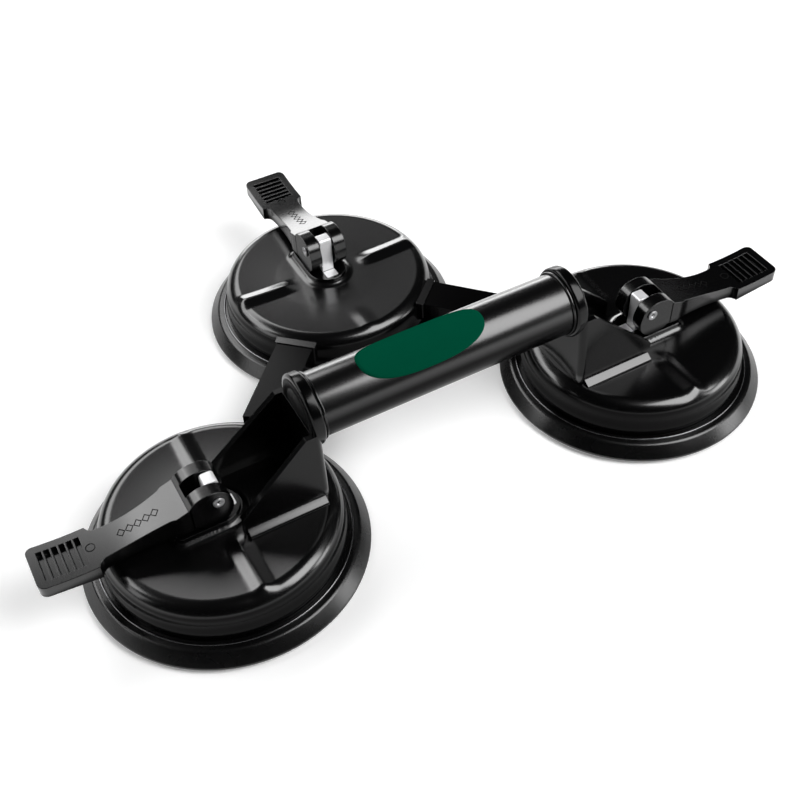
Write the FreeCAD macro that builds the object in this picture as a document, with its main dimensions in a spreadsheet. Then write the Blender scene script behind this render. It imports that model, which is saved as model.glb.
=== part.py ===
"""Three-cup suction lifter for floor tiles and glass, as an assembly of separate pieces.

The two outer cups stand in a row under the grip tube and the third stands behind them.  Each cup has a
rubber disc under a cast housing.  A cam lever pulls a steel draw bar, and with it the middle of the disc,
up through the housing.  X runs along the grip tube, Y towards the rear cup and Z up.  The origin is on the
floor, under the middle of the whole object.  Lengths are millimetres.  The levers are down, that is locked.

Each cup is drawn in a frame of its own: its axis is Z and its lever points along +X.
"""
import FreeCAD, Part
import math
import os

import Sketcher
from FreeCAD import Placement, Rotation, Vector

# ---------------------------------------------------------------------------------------------- sizes
DRIVING = {
    # layout
    "cup_spacing": 201.0,          # between the axes of the two outer cups
    "row_depth": 107.2,            # from the outer row to the rear cup's axis
    # rubber disc, its middle drawn up
    "bevel_width": 4.4,            # the disc's outer bevel, seen from above
    "lip_edge": 0.9,
    "lip_flat": 6.5,               # width of the ring that lies on the floor
    "ledge_margin": 4.4,           # ledge outside the housing's skirt
    "ledge_height": 6.0,
    "ledge_depth": 3.4,            # ledge inside the skirt's wall
    "draw_height": 7.0,            # how far the disc's middle is lifted
    "hollow_radius": 28.0,
    "disc_thickness": 4.5,
    "disc_rim": 4.0,               # rubber rim round the steel plate
    "disc_rim_height": 1.4,
    # steel plate bonded into the disc
    "plate_radius": 31.0,
    "plate_thickness": 2.0,
    "stem_radius": 4.0,
    # housing
    "skirt_radius": 50.2,
    "skirt_step_low": 10.2,
    "skirt_step_high": 13.6,
    "skirt_step": 1.1,             # upper skirt inside the lower one
    "shoulder_round": 6.3,
    "dome_height": 22.6,
    "dish_depth": 1.4,
    "dish_radius": 25.0,
    "ceiling": 2.6,
    "skirt_wall": 2.8,
    "rib_width": 11.0,
    "rib_rise": 1.0,
    "rib_crest": 2.4,
    "rib_crest_round": 1.6,
    "rib_start": 18.5,
    "rib_overhang": 1.8,           # how far a rib runs out over the shoulder
    # cam seat
    "seat_half_width": 9.0,
    "seat_tail": 20.0,
    "seat_nose": 0.4,              # centre of the seat's round end
    "seat_thickness": 1.2,
    "seat_rise": 3.3,              # top of the seat above the dished dome
    "boss_margin": 0.8,
    "boss_foot": 1.5,              # width of the slope at the boss's foot
    "seat_corner": 2.0,
    "strip_thickness": 0.9,
    # draw bar and pivot
    "bar_width": 6.0,
    "bar_depth": 6.0,
    "bar_crown": 5.0,              # bar above the pivot
    "bar_flange_radius": 8.0,
    "bar_flange": 2.4,
    "pivot_offset": 1.5,
    "pin_radius": 2.2,
    "pin_head_radius": 2.9,
    "pin_head": 0.6,
    "pin_bore": 1.3,
    "pin_bore_depth": 2.0,
    # return spring
    "spring_inner": 11.0,
    "spring_outer": 24.0,
    "spring_sheet": 0.8,
    # lever
    "cam_radius": 9.0,
    "cam_throw": 4.75,
    "cam_angle": 47.5,             # cam's centre below the lever's line, degrees
    "cam_lead_angle": 25.0,        # where the cam's round meets the ear's front, degrees
    "cam_tail_angle": 45.0,        # where it meets the underside, degrees
    "ear_width": 18.4,
    "ear_top": 5.9,                # top of the ears above the pivot
    "ear_front": 0.2,
    "ear_rear": 10.0,
    "ear_round": 3.2,
    "fork_slot": 7.0,
    "fork_root": 12.2,
    "lever_reach": 73.0,
    "waist_top": 36.2,
    "waist_start": 18.6,
    "waist_step": 1.6,
    "waist_shoulder": 8.3,
    "waist_sweep": 104.0,          # radius of the waist's hollow sides
    "neck_half_width": 7.4,
    "tip_top": 32.9,
    "lever_sweep": 125.0,          # radius of the lever's hollow back
    "arm_start_depth": 9.3,
    "grip_shoulder": 50.0,
    "grip_depth": 8.0,
    "tip_depth": 5.5,
    "grip_width": 21.0,
    "tip_corner": 3.0,
    "notch_round": 3.6,
    "lever_edge_round": 0.6,
    "slot_length": 14.0,
    "slot_width": 1.7,
    "slot_depth": 3.0,             # slot floor below the tip's top
    "slot_pitch": 2.85,
    "slot_count": 6,
    "slot_tip_margin": 3.75,
    # grip tube
    "tube_radius": 13.25,
    "tube_wall": 1.8,
    "tube_height": 57.7,
    "grip_length": 114.0,          # between the brackets' collars
    "tube_inset": 4.2,             # how far the tube enters each collar
    "ring_width": 3.3,
    "ring_rise": 1.7,
    "ring_bevel": 0.7,
    "plug_cap": 1.2,
    "plug_length": 9.0,
    "label_half_length": 27.5,
    "label_half_width": 9.8,
    "label_thickness": 0.2,
    "label_shift": -8.0,
    "label_tilt": 15.0,            # degrees, towards the user
    # brackets
    "collar_rise": 3.2,            # collar outside the tube
    "collar_width": 5.2,
    "collar_round": 1.5,
    "collar_bevel": 1.1,
    "wall_setback": 3.5,           # end wall behind the collar's face
    "bracket_wall": 2.7,
    "foot_spread": 0.9,
    "step_width": 3.8,
    "web_end": 4.0,                # from the cup's axis
    "web_end_height": 29.8,
    "web_end_round": 1.2,
    "step_drop": 0.5,              # step of the webs below the tube's axis
    "corner_round": 3.0,
    "foot_bar_width": 3.6,
    "foot_bar_rise": 2.6,
    "foot_bar_start": 5.0,
    "foot_bar_inset": 5.5,
    # arms of the rear housing, screwed to the outer housings
    "arm_width": 14.6,
    "link_top": 21.0,
    "link_height": 10.0,
    "link_wall": 2.6,
    "link_end": 5.0,
    "screw_radius": 1.5,
    "screw_head_radius": 2.6,
    "screw_head": 1.6,
    "screw_spacing": 6.4,
    "screw_length": 7.0,
    # clearances
    "fit_gap": 0.1,                # between pieces that sit on each other
    "slide_gap": 0.3,              # round the draw bar
    "cam_gap": 0.35,               # least room left under the cam
    "fork_gap": 0.5,
    "pin_gap": 0.05,
    "screw_gap": 0.2,
    "link_gap": 0.3,
}

DERIVED = {
    "skirt_inner_radius": "skirt_radius - skirt_wall",
    "upper_skirt_radius": "skirt_radius - skirt_step",
    "bevel_top_radius": "skirt_radius + ledge_margin",
    "lip_radius": "bevel_top_radius + bevel_width",
    "outer_cup_x": "cup_spacing / 2",
    "row_y": "(lip_radius - row_depth - lever_reach) / 2",
    "rear_y": "row_y + row_depth",
    # rubber disc
    "lip_inner_radius": "lip_radius - lip_flat",
    "ledge_inner_radius": "skirt_inner_radius - ledge_depth",
    "plate_seat": "draw_height + disc_thickness",
    "recess_radius": "plate_radius + slide_gap",
    "disc_rim_radius": "recess_radius + disc_rim",
    "disc_rim_top": "plate_seat + disc_rim_height",
    # plate and bar
    "plate_bottom": "plate_seat + fit_gap",
    "plate_top": "plate_bottom + plate_thickness",
    "plate_bore": "stem_radius + pin_gap",
    "flange_top": "plate_top + bar_flange",
    # housing
    "skirt_bottom": "ledge_height + fit_gap",
    "dome_flat_radius": "upper_skirt_radius - shoulder_round",
    "shoulder_start": "dome_height - shoulder_round",
    "dish_floor": "dome_height - dish_depth",
    "ceiling_height": "dish_floor - ceiling",
    "dish_mid_radius": "(dish_radius + dome_flat_radius) / 2",
    "dish_mid_height": "dish_floor + dish_depth / 4",
    "cavity_corner": "shoulder_start - fork_gap / 2",
    "ceiling_radius": "dome_flat_radius - skirt_wall / 2",
    "rib_base": "dish_floor - ceiling / 4",
    "rib_top": "dome_height + rib_rise",
    "rib_half_width": "rib_width / 2",
    "rib_half_crest": "rib_crest / 2",
    "rib_length": "dome_flat_radius + rib_overhang - rib_start",
    # seat
    "seat_top": "dish_floor + seat_rise",
    "boss_top": "seat_top - seat_thickness",
    "boss_half_width": "seat_half_width + boss_margin",
    "boss_tail": "seat_tail + boss_margin",
    "boss_height": "boss_top - ceiling_height",
    "tail_rib_start": "boss_tail + 3 * boss_foot",
    "tail_rib_length": "rib_start + rib_length - tail_rib_start",
    "strip_bottom": "seat_top - strip_thickness",
    "strip_half_width": "fork_slot / 2 - slide_gap",
    "strip_front": "seat_nose - sqrt(seat_half_width * seat_half_width - strip_half_width * strip_half_width)",
    "strip_tail": "pivot_offset - bar_depth / 2 - slide_gap",
    "seat_corner_x": "seat_tail - seat_corner",
    "seat_corner_y": "seat_half_width - seat_corner",
    "boss_corner": "seat_corner + boss_margin",
    "boss_corner_x": "boss_tail - boss_corner",
    "boss_corner_y": "boss_half_width - boss_corner",
    "seat_nose_end": "seat_nose - seat_half_width",
    "boss_nose_end": "seat_nose - boss_half_width",
    "groove_half_width": "strip_half_width + fit_gap",
    "window_front": "pivot_offset - bar_depth / 2 - slide_gap",
    "window_rear": "pivot_offset + bar_depth / 2 + slide_gap",
    "window_half_width": "bar_width / 2 + slide_gap",
    # pivot and cam
    "cam_drop": "cam_throw * sin(cam_angle)",
    "pivot_height": "seat_top + cam_gap + cam_radius + cam_drop",
    "cam_x": "pivot_offset + cam_throw * cos(cam_angle)",
    "cam_z": "pivot_height - cam_drop",
    "cam_bottom": "cam_z - cam_radius",
    "cam_front": "cam_x - cam_radius",
    "bar_top": "pivot_height + bar_crown",
    "bar_front": "pivot_offset - bar_depth / 2",
    "bar_rear": "pivot_offset + bar_depth / 2",
    "pin_hole": "pin_radius + pin_gap",
    "ear_half_width": "ear_width / 2",
    "pin_half_length": "ear_half_width + pin_gap",
    "pin_end": "pin_half_length + pin_head",
    "pin_bore_bottom": "pin_end - pin_bore_depth",
    # spring
    "spring_low": "plate_top + fit_gap",
    "spring_high": "ceiling_height - fit_gap",
    "spring_heel": "spring_inner + spring_sheet",
    "spring_heel_top": "spring_low + spring_sheet",
    "spring_crest": "spring_outer - spring_sheet",
    "spring_brim_low": "spring_high - spring_sheet",
    # lever
    "ear_top_height": "pivot_height + ear_top",
    "ear_face": "ear_front - ear_round",
    "ear_face_height": "ear_top_height - ear_round",
    "cam_lead_x": "cam_x - cam_radius * cos(cam_lead_angle)",
    "cam_lead_z": "cam_z + cam_radius * sin(cam_lead_angle)",
    "cam_tail_x": "cam_x + cam_radius * cos(cam_tail_angle)",
    "cam_tail_z": "cam_z - cam_radius * sin(cam_tail_angle)",
    "arm_start_bottom": "waist_top - arm_start_depth",
    "shoulder_bottom": "tip_top - grip_depth",
    "tip_bottom": "tip_top - tip_depth",
    "waist_from": "waist_start + waist_step",
    "grip_half_width": "grip_width / 2",
    "notch_start": "grip_shoulder - notch_round",
    "tip_corner_x": "lever_reach - tip_corner",
    "tip_half_width": "grip_half_width - tip_corner",
    "fork_half_width": "fork_slot / 2",
    "slot_half_length": "slot_length / 2",
    "slot_first": "lever_reach - slot_tip_margin",
    "slot_near": "slot_first - slot_width",
    "slot_floor": "tip_top - slot_depth",
    "slot_run": "slot_pitch * (slot_count - 1)",
    # tube
    "tube_inner_radius": "tube_radius - tube_wall",
    "collar_face_x": "grip_length / 2",
    "tube_end_x": "collar_face_x + tube_inset",
    "tube_length": "2 * tube_end_x",
    "ring_bore": "tube_radius + pin_gap",
    "ring_radius": "tube_radius + ring_rise",
    "plug_radius": "tube_inner_radius - pin_gap",
    "ring_start": "collar_face_x - fit_gap - ring_width",
    "cap_start": "tube_end_x + fit_gap",
    "spigot_start": "tube_end_x - plug_length",
    "spigot_length": "cap_start - spigot_start",
    "spigot_bore": "plug_radius - tube_wall",
    "label_bore": "tube_radius + pin_gap",
    "label_radius": "label_bore + label_thickness",
    "label_length": "4 * label_half_length",
    "label_height": "2 * tube_radius",
    # brackets, in the cup's own frame, where the tube is on the -X side
    "collar_radius": "tube_radius + collar_rise",
    "collar_bore": "tube_radius + fit_gap",
    "collar_start": "collar_face_x - outer_cup_x",
    "collar_end": "collar_start + collar_width",
    "wall_start": "collar_start + wall_setback",
    "trough_start": "wall_start + bracket_wall",
    "step_end": "collar_end + step_width",
    "step_height": "tube_height - step_drop",
    "step_round_x": "collar_end + collar_round",
    "step_round_z": "step_height + collar_round",
    "bracket_length": "0 - web_end - wall_start",
    "bracket_foot": "collar_radius + foot_spread",
    "trough_half_width": "collar_radius - bracket_wall",
    "trough_foot": "bracket_foot - bracket_wall",
    "trough_length": "0 - trough_start",
    "bracket_top": "tube_height + collar_radius",
    "slope_cut_top": "bracket_top + collar_rise",
    "bore_depth": "trough_start - collar_start",
    "foot_bar_top": "dome_height + foot_bar_rise",
    "foot_bar_outer": "bracket_foot + foot_bar_width",
    "foot_bar_from": "trough_start + foot_bar_inset",
    "foot_bar_length": "0 - foot_bar_start - foot_bar_from",
    # arms, in a frame whose X runs from the rear cup's axis to an outer cup's axis
    "link_span": "sqrt(outer_cup_x^2 + row_depth^2)",
    "link_angle": "atan(outer_cup_x / row_depth)",
    "link_half_width": "arm_width / 2",
    "link_inner_half": "link_half_width - link_wall",
    "link_bottom": "link_top - link_height",
    "link_ceiling": "link_top - link_wall",
    "link_root": "skirt_inner_radius + skirt_wall / 3",
    "link_top_root": "dome_flat_radius",
    "link_cut_radius": "skirt_radius + link_gap",
    "link_reach": "link_span - skirt_inner_radius",
    "link_length": "link_reach - link_root",
    "link_top_length": "link_reach - link_top_root",
    "link_end_start": "link_span - link_cut_radius - link_end",
    "link_end_length": "link_reach - link_end_start",
    "screw_height": "cavity_corner - screw_head_radius",
    "screw_offset": "screw_spacing / 2",
    "screw_hole": "screw_radius + screw_gap",
    "screw_thread": "screw_radius + pin_gap",
    "screw_spot": "screw_head_radius + screw_gap",
    "screw_seat": "link_span - skirt_inner_radius",
    "screw_tip": "screw_seat - screw_length",
    "screw_hole_start": "screw_tip - fit_gap",
    "screw_hole_length": "screw_length + skirt_wall",
}

NODES = {}                       # node name -> the document object whose shape it is
doc = FreeCAD.newDocument("TileLifter")
sheet = doc.addObject("Spreadsheet::Sheet", "Sizes")


def fill_sheet():
    """Write the driving sizes as plain numbers and the derived ones as formulas, each with its alias."""
    rows = [(alias, str(value)) for alias, value in DRIVING.items()]
    rows += [(alias, "=" + formula) for alias, formula in DERIVED.items()]
    for row, (alias, content) in enumerate(rows, start=1):
        sheet.set("A%d" % row, alias)
        sheet.set("B%d" % row, content)
        sheet.setAlias("B%d" % row, alias)
    doc.recompute()


def size(name):
    """The value of a named size; a leading minus turns its sign, and "0" is zero."""
    if name == "0":
        return 0.0
    if name.startswith("-"):
        return -size(name[1:])
    return float(sheet.get(name))


def cell(name):
    """The expression that reads a named size from the sheet."""
    if name.startswith("-"):
        return "-Sizes." + name[1:]
    return "Sizes." + name


def bind(thing, **names):
    """Bind properties of a document object to cells; a double underscore stands for a dot."""
    for prop, name in names.items():
        thing.setExpression(prop.replace("__", "."), cell(name))
    return thing


# ------------------------------------------------------------------------------------ sketch and feature
def origin_feature(body, role):
    """The origin plane or axis of a body."""
    return [f for f in body.Origin.OriginFeatures if f.Role == role][0]


def new_sketch(body, name, plane, lift=None):
    """A sketch on an origin plane of its body, lifted off it by a named size."""
    sketch = body.newObject("Sketcher::SketchObject", name)
    sketch.AttachmentSupport = (origin_feature(body, plane), [""])
    sketch.MapMode = "FlatFace"
    if lift:
        sketch.AttachmentOffset = Placement(Vector(0, 0, size(lift)), Rotation())
        sketch.setExpression("AttachmentOffset.Base.z", cell(lift))
    return sketch


def fix_point(sketch, geometry, end, corner):
    """Tie one end of a line or arc to two named sizes."""
    for kind, name in zip(("DistanceX", "DistanceY"), corner):
        index = sketch.addConstraint(Sketcher.Constraint(kind, -1, 1, geometry, end, size(name)))
        if name != "0":
            sketch.setExpression("Constraints[%d]" % index, cell(name))


def arc_between(first, last, radius, turn):
    """The arc of a radius from first to last, which turns left (+1) or right (-1)."""
    chord = last - first
    middle = (first + last) * 0.5
    reach = math.sqrt(max(radius ** 2 - chord.Length ** 2 / 4, 0.0))
    normal = Vector(-chord.y, chord.x, 0).normalize()
    centre = middle + normal * (reach * turn)
    ends = (first, last) if turn > 0 else (last, first)
    angles = [math.atan2(p.y - centre.y, p.x - centre.x) for p in ends]
    circle = Part.Circle(centre, Vector(0, 0, 1), radius)
    return Part.ArcOfCircle(circle, angles[0], angles[1])


def outline(body, name, plane, corners, lift=None):
    """A closed outline through corners (across, up) of named sizes.

    A corner may also give (radius, turn) of the arc that leads to it; otherwise a line does.
    """
    sketch = new_sketch(body, name, plane, lift)
    points = [Vector(size(c[0]), size(c[1]), 0) for c in corners]
    ends = []
    for index, corner in enumerate(corners):
        first, last = points[index - 1], points[index]
        if len(corner) == 2:
            geometry = sketch.addGeometry(Part.LineSegment(first, last), False)
            ends.append((geometry, 1, 2))
            continue
        radius, turn = corner[2], corner[3]
        geometry = sketch.addGeometry(arc_between(first, last, size(radius), turn), False)
        ends.append((geometry, 1, 2) if turn > 0 else (geometry, 2, 1))
        number = sketch.addConstraint(Sketcher.Constraint("Radius", geometry, size(radius)))
        sketch.setExpression("Constraints[%d]" % number, cell(radius))
    for index, (geometry, start, end) in enumerate(ends):
        before, _, before_end = ends[index - 1]
        sketch.addConstraint(Sketcher.Constraint("Coincident", before, before_end, geometry, start))
        fix_point(sketch, geometry, end, corners[index])
    return sketch


def circles(body, name, plane, rings, lift=None):
    """Circles given as (across, up, radius) of named sizes."""
    sketch = new_sketch(body, name, plane, lift)
    for across, up, radius in rings:
        centre = Vector(size(across), size(up), 0)
        geometry = sketch.addGeometry(Part.Circle(centre, Vector(0, 0, 1), size(radius)), False)
        fix_point(sketch, geometry, 3, (across, up))
        number = sketch.addConstraint(Sketcher.Constraint("Radius", geometry, size(radius)))
        sketch.setExpression("Constraints[%d]" % number, cell(radius))
    return sketch


def rectangle(low, high):
    """The corners of an upright rectangle between two corners of named sizes."""
    return [low, (high[0], low[1]), high, (low[0], high[1])]


def new_body(name):
    """An empty PartDesign body."""
    body = doc.addObject("PartDesign::Body", name)
    body.Label = name
    body.AllowCompound = True
    return body


def pad(body, sketch, length, both_ways=False, reverse=False):
    """Add the sketch's outline, drawn out by a named length."""
    feature = body.newObject("PartDesign::Pad", sketch.Name + "_pad")
    feature.Profile = sketch
    feature.Length = size(length)
    feature.setExpression("Length", cell(length))
    feature.Midplane = both_ways
    feature.Reversed = reverse
    return feature


def pocket(body, sketch, length=None, both_ways=False, reverse=False):
    """Cut the sketch's outline, to a named depth or right through."""
    feature = body.newObject("PartDesign::Pocket", sketch.Name + "_cut")
    feature.Profile = sketch
    if length:
        feature.Length = size(length)
        feature.setExpression("Length", cell(length))
    else:
        feature.Type = "ThroughAll"
    feature.Midplane = both_ways
    feature.Reversed = reverse
    return feature


def revolve(body, sketch, axis="V_Axis"):
    """Turn the sketch's outline about its own upright axis."""
    feature = body.newObject("PartDesign::Revolution", sketch.Name + "_turn")
    feature.Profile = sketch
    feature.ReferenceAxis = (sketch, [axis])
    feature.Angle = 360
    return feature


def dress_edges(body, base, kind, prop, width, chosen):
    """Fillet or chamfer the edges of a feature that pass a test."""
    doc.recompute()
    names = ["Edge%d" % (i + 1) for i, edge in enumerate(base.Shape.Edges) if chosen(edge)]
    if not names:
        raise RuntimeError("no edge to dress on " + base.Name)
    feature = body.newObject("PartDesign::" + kind, base.Name + "_" + kind.lower())
    feature.Base = (base, names)
    setattr(feature, prop, size(width))
    feature.setExpression(prop, cell(width))
    return feature


def round_edges(body, base, radius, chosen):
    """Fillet the edges of a feature that pass a test."""
    return dress_edges(body, base, "Fillet", "Radius", radius, chosen)


def bevel_edges(body, base, width, chosen):
    """Chamfer the edges of a feature that pass a test."""
    return dress_edges(body, base, "Chamfer", "Size", width, chosen)


def near(value, name, slack=0.02):
    """Whether a coordinate is at a named size."""
    return abs(value - size(name)) < slack


# ------------------------------------------------------------------------------------------- placement
CUPS = {
    # name: (expression of the axis' x, of its y, turn of the lever from +X in degrees)
    "left": ("-outer_cup_x", "row_y", 180.0),
    "right": ("outer_cup_x", "row_y", 0.0),
    "rear": (None, "rear_y", 90.0),
}


def stand_at_cup(thing, cup):
    """Place a piece that was drawn in a cup's own frame."""
    x_name, y_name, turn = CUPS[cup]
    x = size(x_name) if x_name else 0.0
    thing.Placement = Placement(Vector(x, size(y_name), 0), Rotation(Vector(0, 0, 1), turn))
    if x_name:
        thing.setExpression("Placement.Base.x", cell(x_name))
    thing.setExpression("Placement.Base.y", cell(y_name))
    return thing


def keep(name, thing):
    """Register a finished piece under its node name."""
    thing.Label = name
    NODES[name] = thing
    return thing


# --------------------------------------------------------------------------------------- pieces of a cup
def rubber_disc(cup):
    """Moulded rubber disc with a bevelled lip, a flat ledge for the housing and a recess for the plate."""
    body = new_body(cup + "_rubber_disc")
    sketch = outline(body, cup + "_disc_section", "XZ_Plane", [
        ("0", "draw_height"),
        ("hollow_radius", "draw_height"),
        ("lip_inner_radius", "0"),
        ("lip_radius", "0"),
        ("lip_radius", "lip_edge"),
        ("bevel_top_radius", "ledge_height"),
        ("ledge_inner_radius", "ledge_height"),
        ("disc_rim_radius", "disc_rim_top"),
        ("recess_radius", "disc_rim_top"),
        ("recess_radius", "plate_seat"),
        ("0", "plate_seat"),
    ])
    revolve(body, sketch)
    return body


def backing_plate(cup):
    """Round steel plate bonded into the disc, bored for the draw bar's stem."""
    body = new_body(cup + "_backing_plate")
    sketch = circles(body, cup + "_plate_outline", "XY_Plane",
                     [("0", "0", "plate_radius"), ("pivot_offset", "0", "plate_bore")], "plate_bottom")
    pad(body, sketch, "plate_thickness")
    return body


def draw_bar(cup):
    """Square steel bar that the lever's pin pulls, with a round flange and a stem riveted in the plate."""
    body = new_body(cup + "_draw_bar")
    stem = circles(body, cup + "_stem", "XY_Plane", [("pivot_offset", "0", "stem_radius")], "plate_bottom")
    pad(body, stem, "plate_thickness")
    flange = circles(body, cup + "_flange", "XY_Plane", [("pivot_offset", "0", "bar_flange_radius")],
                     "plate_top")
    pad(body, flange, "bar_flange")
    side = outline(body, cup + "_bar_side", "XZ_Plane",
                   rectangle(("bar_front", "plate_top"), ("bar_rear", "bar_top")))
    pad(body, side, "bar_width", both_ways=True)
    hole = circles(body, cup + "_bar_hole", "XZ_Plane", [("pivot_offset", "pivot_height", "pin_hole")])
    pocket(body, hole, both_ways=True)
    return body


def pivot_pin(cup):
    """Tubular rivet through the ears and the bar, with a dimpled head at each end."""
    body = new_body(cup + "_pivot_pin")
    sketch = outline(body, cup + "_pin_section", "YZ_Plane", [
        ("0", "0"),
        ("pin_bore_bottom", "0"),
        ("pin_end", "pin_bore"),
        ("pin_end", "pin_head_radius"),
        ("pin_half_length", "pin_head_radius"),
        ("pin_half_length", "pin_radius"),
        ("0", "pin_radius"),
    ])
    sketch.AttachmentOffset = Placement(Vector(0, size("pivot_height"), size("pivot_offset")), Rotation())
    sketch.setExpression("AttachmentOffset.Base.y", cell("pivot_height"))
    sketch.setExpression("AttachmentOffset.Base.z", cell("pivot_offset"))
    half = revolve(body, sketch, "H_Axis")
    other = body.newObject("PartDesign::Mirrored", cup + "_pin_mirror")
    other.Originals = [half]
    other.MirrorPlane = (origin_feature(body, "XZ_Plane"), [""])
    body.Tip = other
    return body


def cam_seat(cup):
    """Wear plate on the housing's boss that the cam bears on, with a window for the draw bar."""
    body = new_body(cup + "_cam_seat")
    plate = outline(body, cup + "_seat_outline", "XY_Plane", seat_outline("seat"), "boss_top")
    top = pad(body, plate, "seat_thickness")
    window = outline(body, cup + "_seat_window", "XY_Plane", window_outline(), "boss_top")
    opening = pocket(body, window, "seat_thickness", reverse=True)
    groove = outline(body, cup + "_seat_groove", "XY_Plane",
                     rectangle(("-boss_tail", "-groove_half_width"), ("pivot_offset", "groove_half_width")),
                     "strip_bottom")
    pocket(body, groove, "seat_thickness", reverse=True)
    return body


def slide_strip(cup):
    """Thin steel strip let into the nose of the seat, which guides the draw bar."""
    body = new_body(cup + "_slide_strip")
    strip = outline(body, cup + "_strip_outline", "XY_Plane",
                    rectangle(("strip_front", "-strip_half_width"), ("strip_tail", "strip_half_width")),
                    "strip_bottom")
    pad(body, strip, "strip_thickness")
    return body


def window_outline():
    """The square opening that the draw bar slides in."""
    return rectangle(("window_front", "-window_half_width"), ("window_rear", "window_half_width"))


def seat_outline(kind):
    """The outline of the seat or its boss: rounded corners, and a full round end towards the grip tube."""
    half, tail, corner = kind + "_half_width", kind + "_tail", kind + "_corner"
    side, end = kind + "_corner_y", kind + "_corner_x"
    return [
        (end, "-" + half),
        (tail, "-" + side, corner, 1),
        (tail, side),
        (end, half, corner, 1),
        ("seat_nose", half),
        (kind + "_nose_end", "0", half, 1),
        ("seat_nose", "-" + half, half, 1),
    ]


def return_spring(cup):
    """Conical sheet spring that pushes the disc's plate down when the lever is raised."""
    body = new_body(cup + "_return_spring")
    sketch = outline(body, cup + "_spring_section", "XZ_Plane", [
        ("spring_inner", "spring_low"),
        ("spring_heel", "spring_low"),
        ("spring_outer", "spring_brim_low"),
        ("spring_outer", "spring_high"),
        ("spring_crest", "spring_high"),
        ("spring_inner", "spring_heel_top"),
    ])
    revolve(body, sketch)
    return body


# ---------------------------------------------------------------------------------------------- housings
SEAM_TURN = 45.0                 # degrees


def housing_shell(cup):
    """Cast dome: skirt with a soft step, rounded shoulder and a shallow dish on top, hollow inside."""
    body = new_body(cup + "_housing")
    section = outline(body, cup + "_housing_section", "XZ_Plane", [
        ("0", "dish_floor"),
        ("dish_radius", "dish_floor"),
        ("dish_mid_radius", "dish_mid_height"),
        ("dome_flat_radius", "dome_height"),
        ("upper_skirt_radius", "shoulder_start", "shoulder_round", -1),
        ("upper_skirt_radius", "skirt_step_high"),
        ("skirt_radius", "skirt_step_low"),
        ("skirt_radius", "skirt_bottom"),
        ("skirt_inner_radius", "skirt_bottom"),
        ("skirt_inner_radius", "cavity_corner"),
        ("ceiling_radius", "ceiling_height"),
        ("0", "ceiling_height"),
    ])
    # the seam of the turned faces goes between two ribs
    section.AttachmentOffset = Placement(Vector(), Rotation(Vector(0, 1, 0), SEAM_TURN))
    revolve(body, section)
    return body


def add_boss(body, cup):
    """Raise the boss under the cam seat, with a sloped foot."""
    sketch = outline(body, cup + "_boss", "XY_Plane", seat_outline("boss"), "ceiling_height")
    raised = pad(body, sketch, "boss_height")

    def at_foot(edge):
        box = edge.BoundBox
        level = near(box.ZMin, "dish_floor") and near(box.ZMax, "dish_floor")
        half = size("boss_half_width") + size("fit_gap")
        return level and box.XMax < size("boss_tail") + size("fit_gap") and (
            -half < box.YMin and box.YMax < half and -half < box.XMin)

    return bevel_edges(body, raised, "boss_foot", at_foot)


def add_ribs(body, cup, towards_tube=False):
    """Radial ridges on the dome, from beside the boss out over the shoulder."""
    section = [
        ("-rib_half_width", "rib_base"),
        ("rib_half_width", "rib_base"),
        ("rib_half_crest", "rib_top"),
        ("-rib_half_crest", "rib_top", "rib_crest_round", 1),
    ]
    beside = pad(body, outline(body, cup + "_rib", "XZ_Plane", section, "rib_start"), "rib_length")
    both = body.newObject("PartDesign::Mirrored", cup + "_ribs")
    both.Originals = [beside]
    both.MirrorPlane = (origin_feature(body, "XZ_Plane"), [""])
    body.Tip = both
    under_lever = outline(body, cup + "_tail_rib", "YZ_Plane", section, "tail_rib_start")
    pad(body, under_lever, "tail_rib_length")
    if towards_tube:
        facing = outline(body, cup + "_nose_rib", "YZ_Plane", section, "-rib_start")
        pad(body, facing, "rib_length", reverse=True)


def arch_outline(foot, half, floor):
    """The bracket's outline seen along the tube: spread feet and a round top about the tube's axis."""
    return [
        ("-" + foot, floor),
        (foot, floor),
        (half, "tube_height"),
        ("0", "bracket_top", half, 1),
        ("-" + half, "tube_height", half, 1),
    ]


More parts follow.
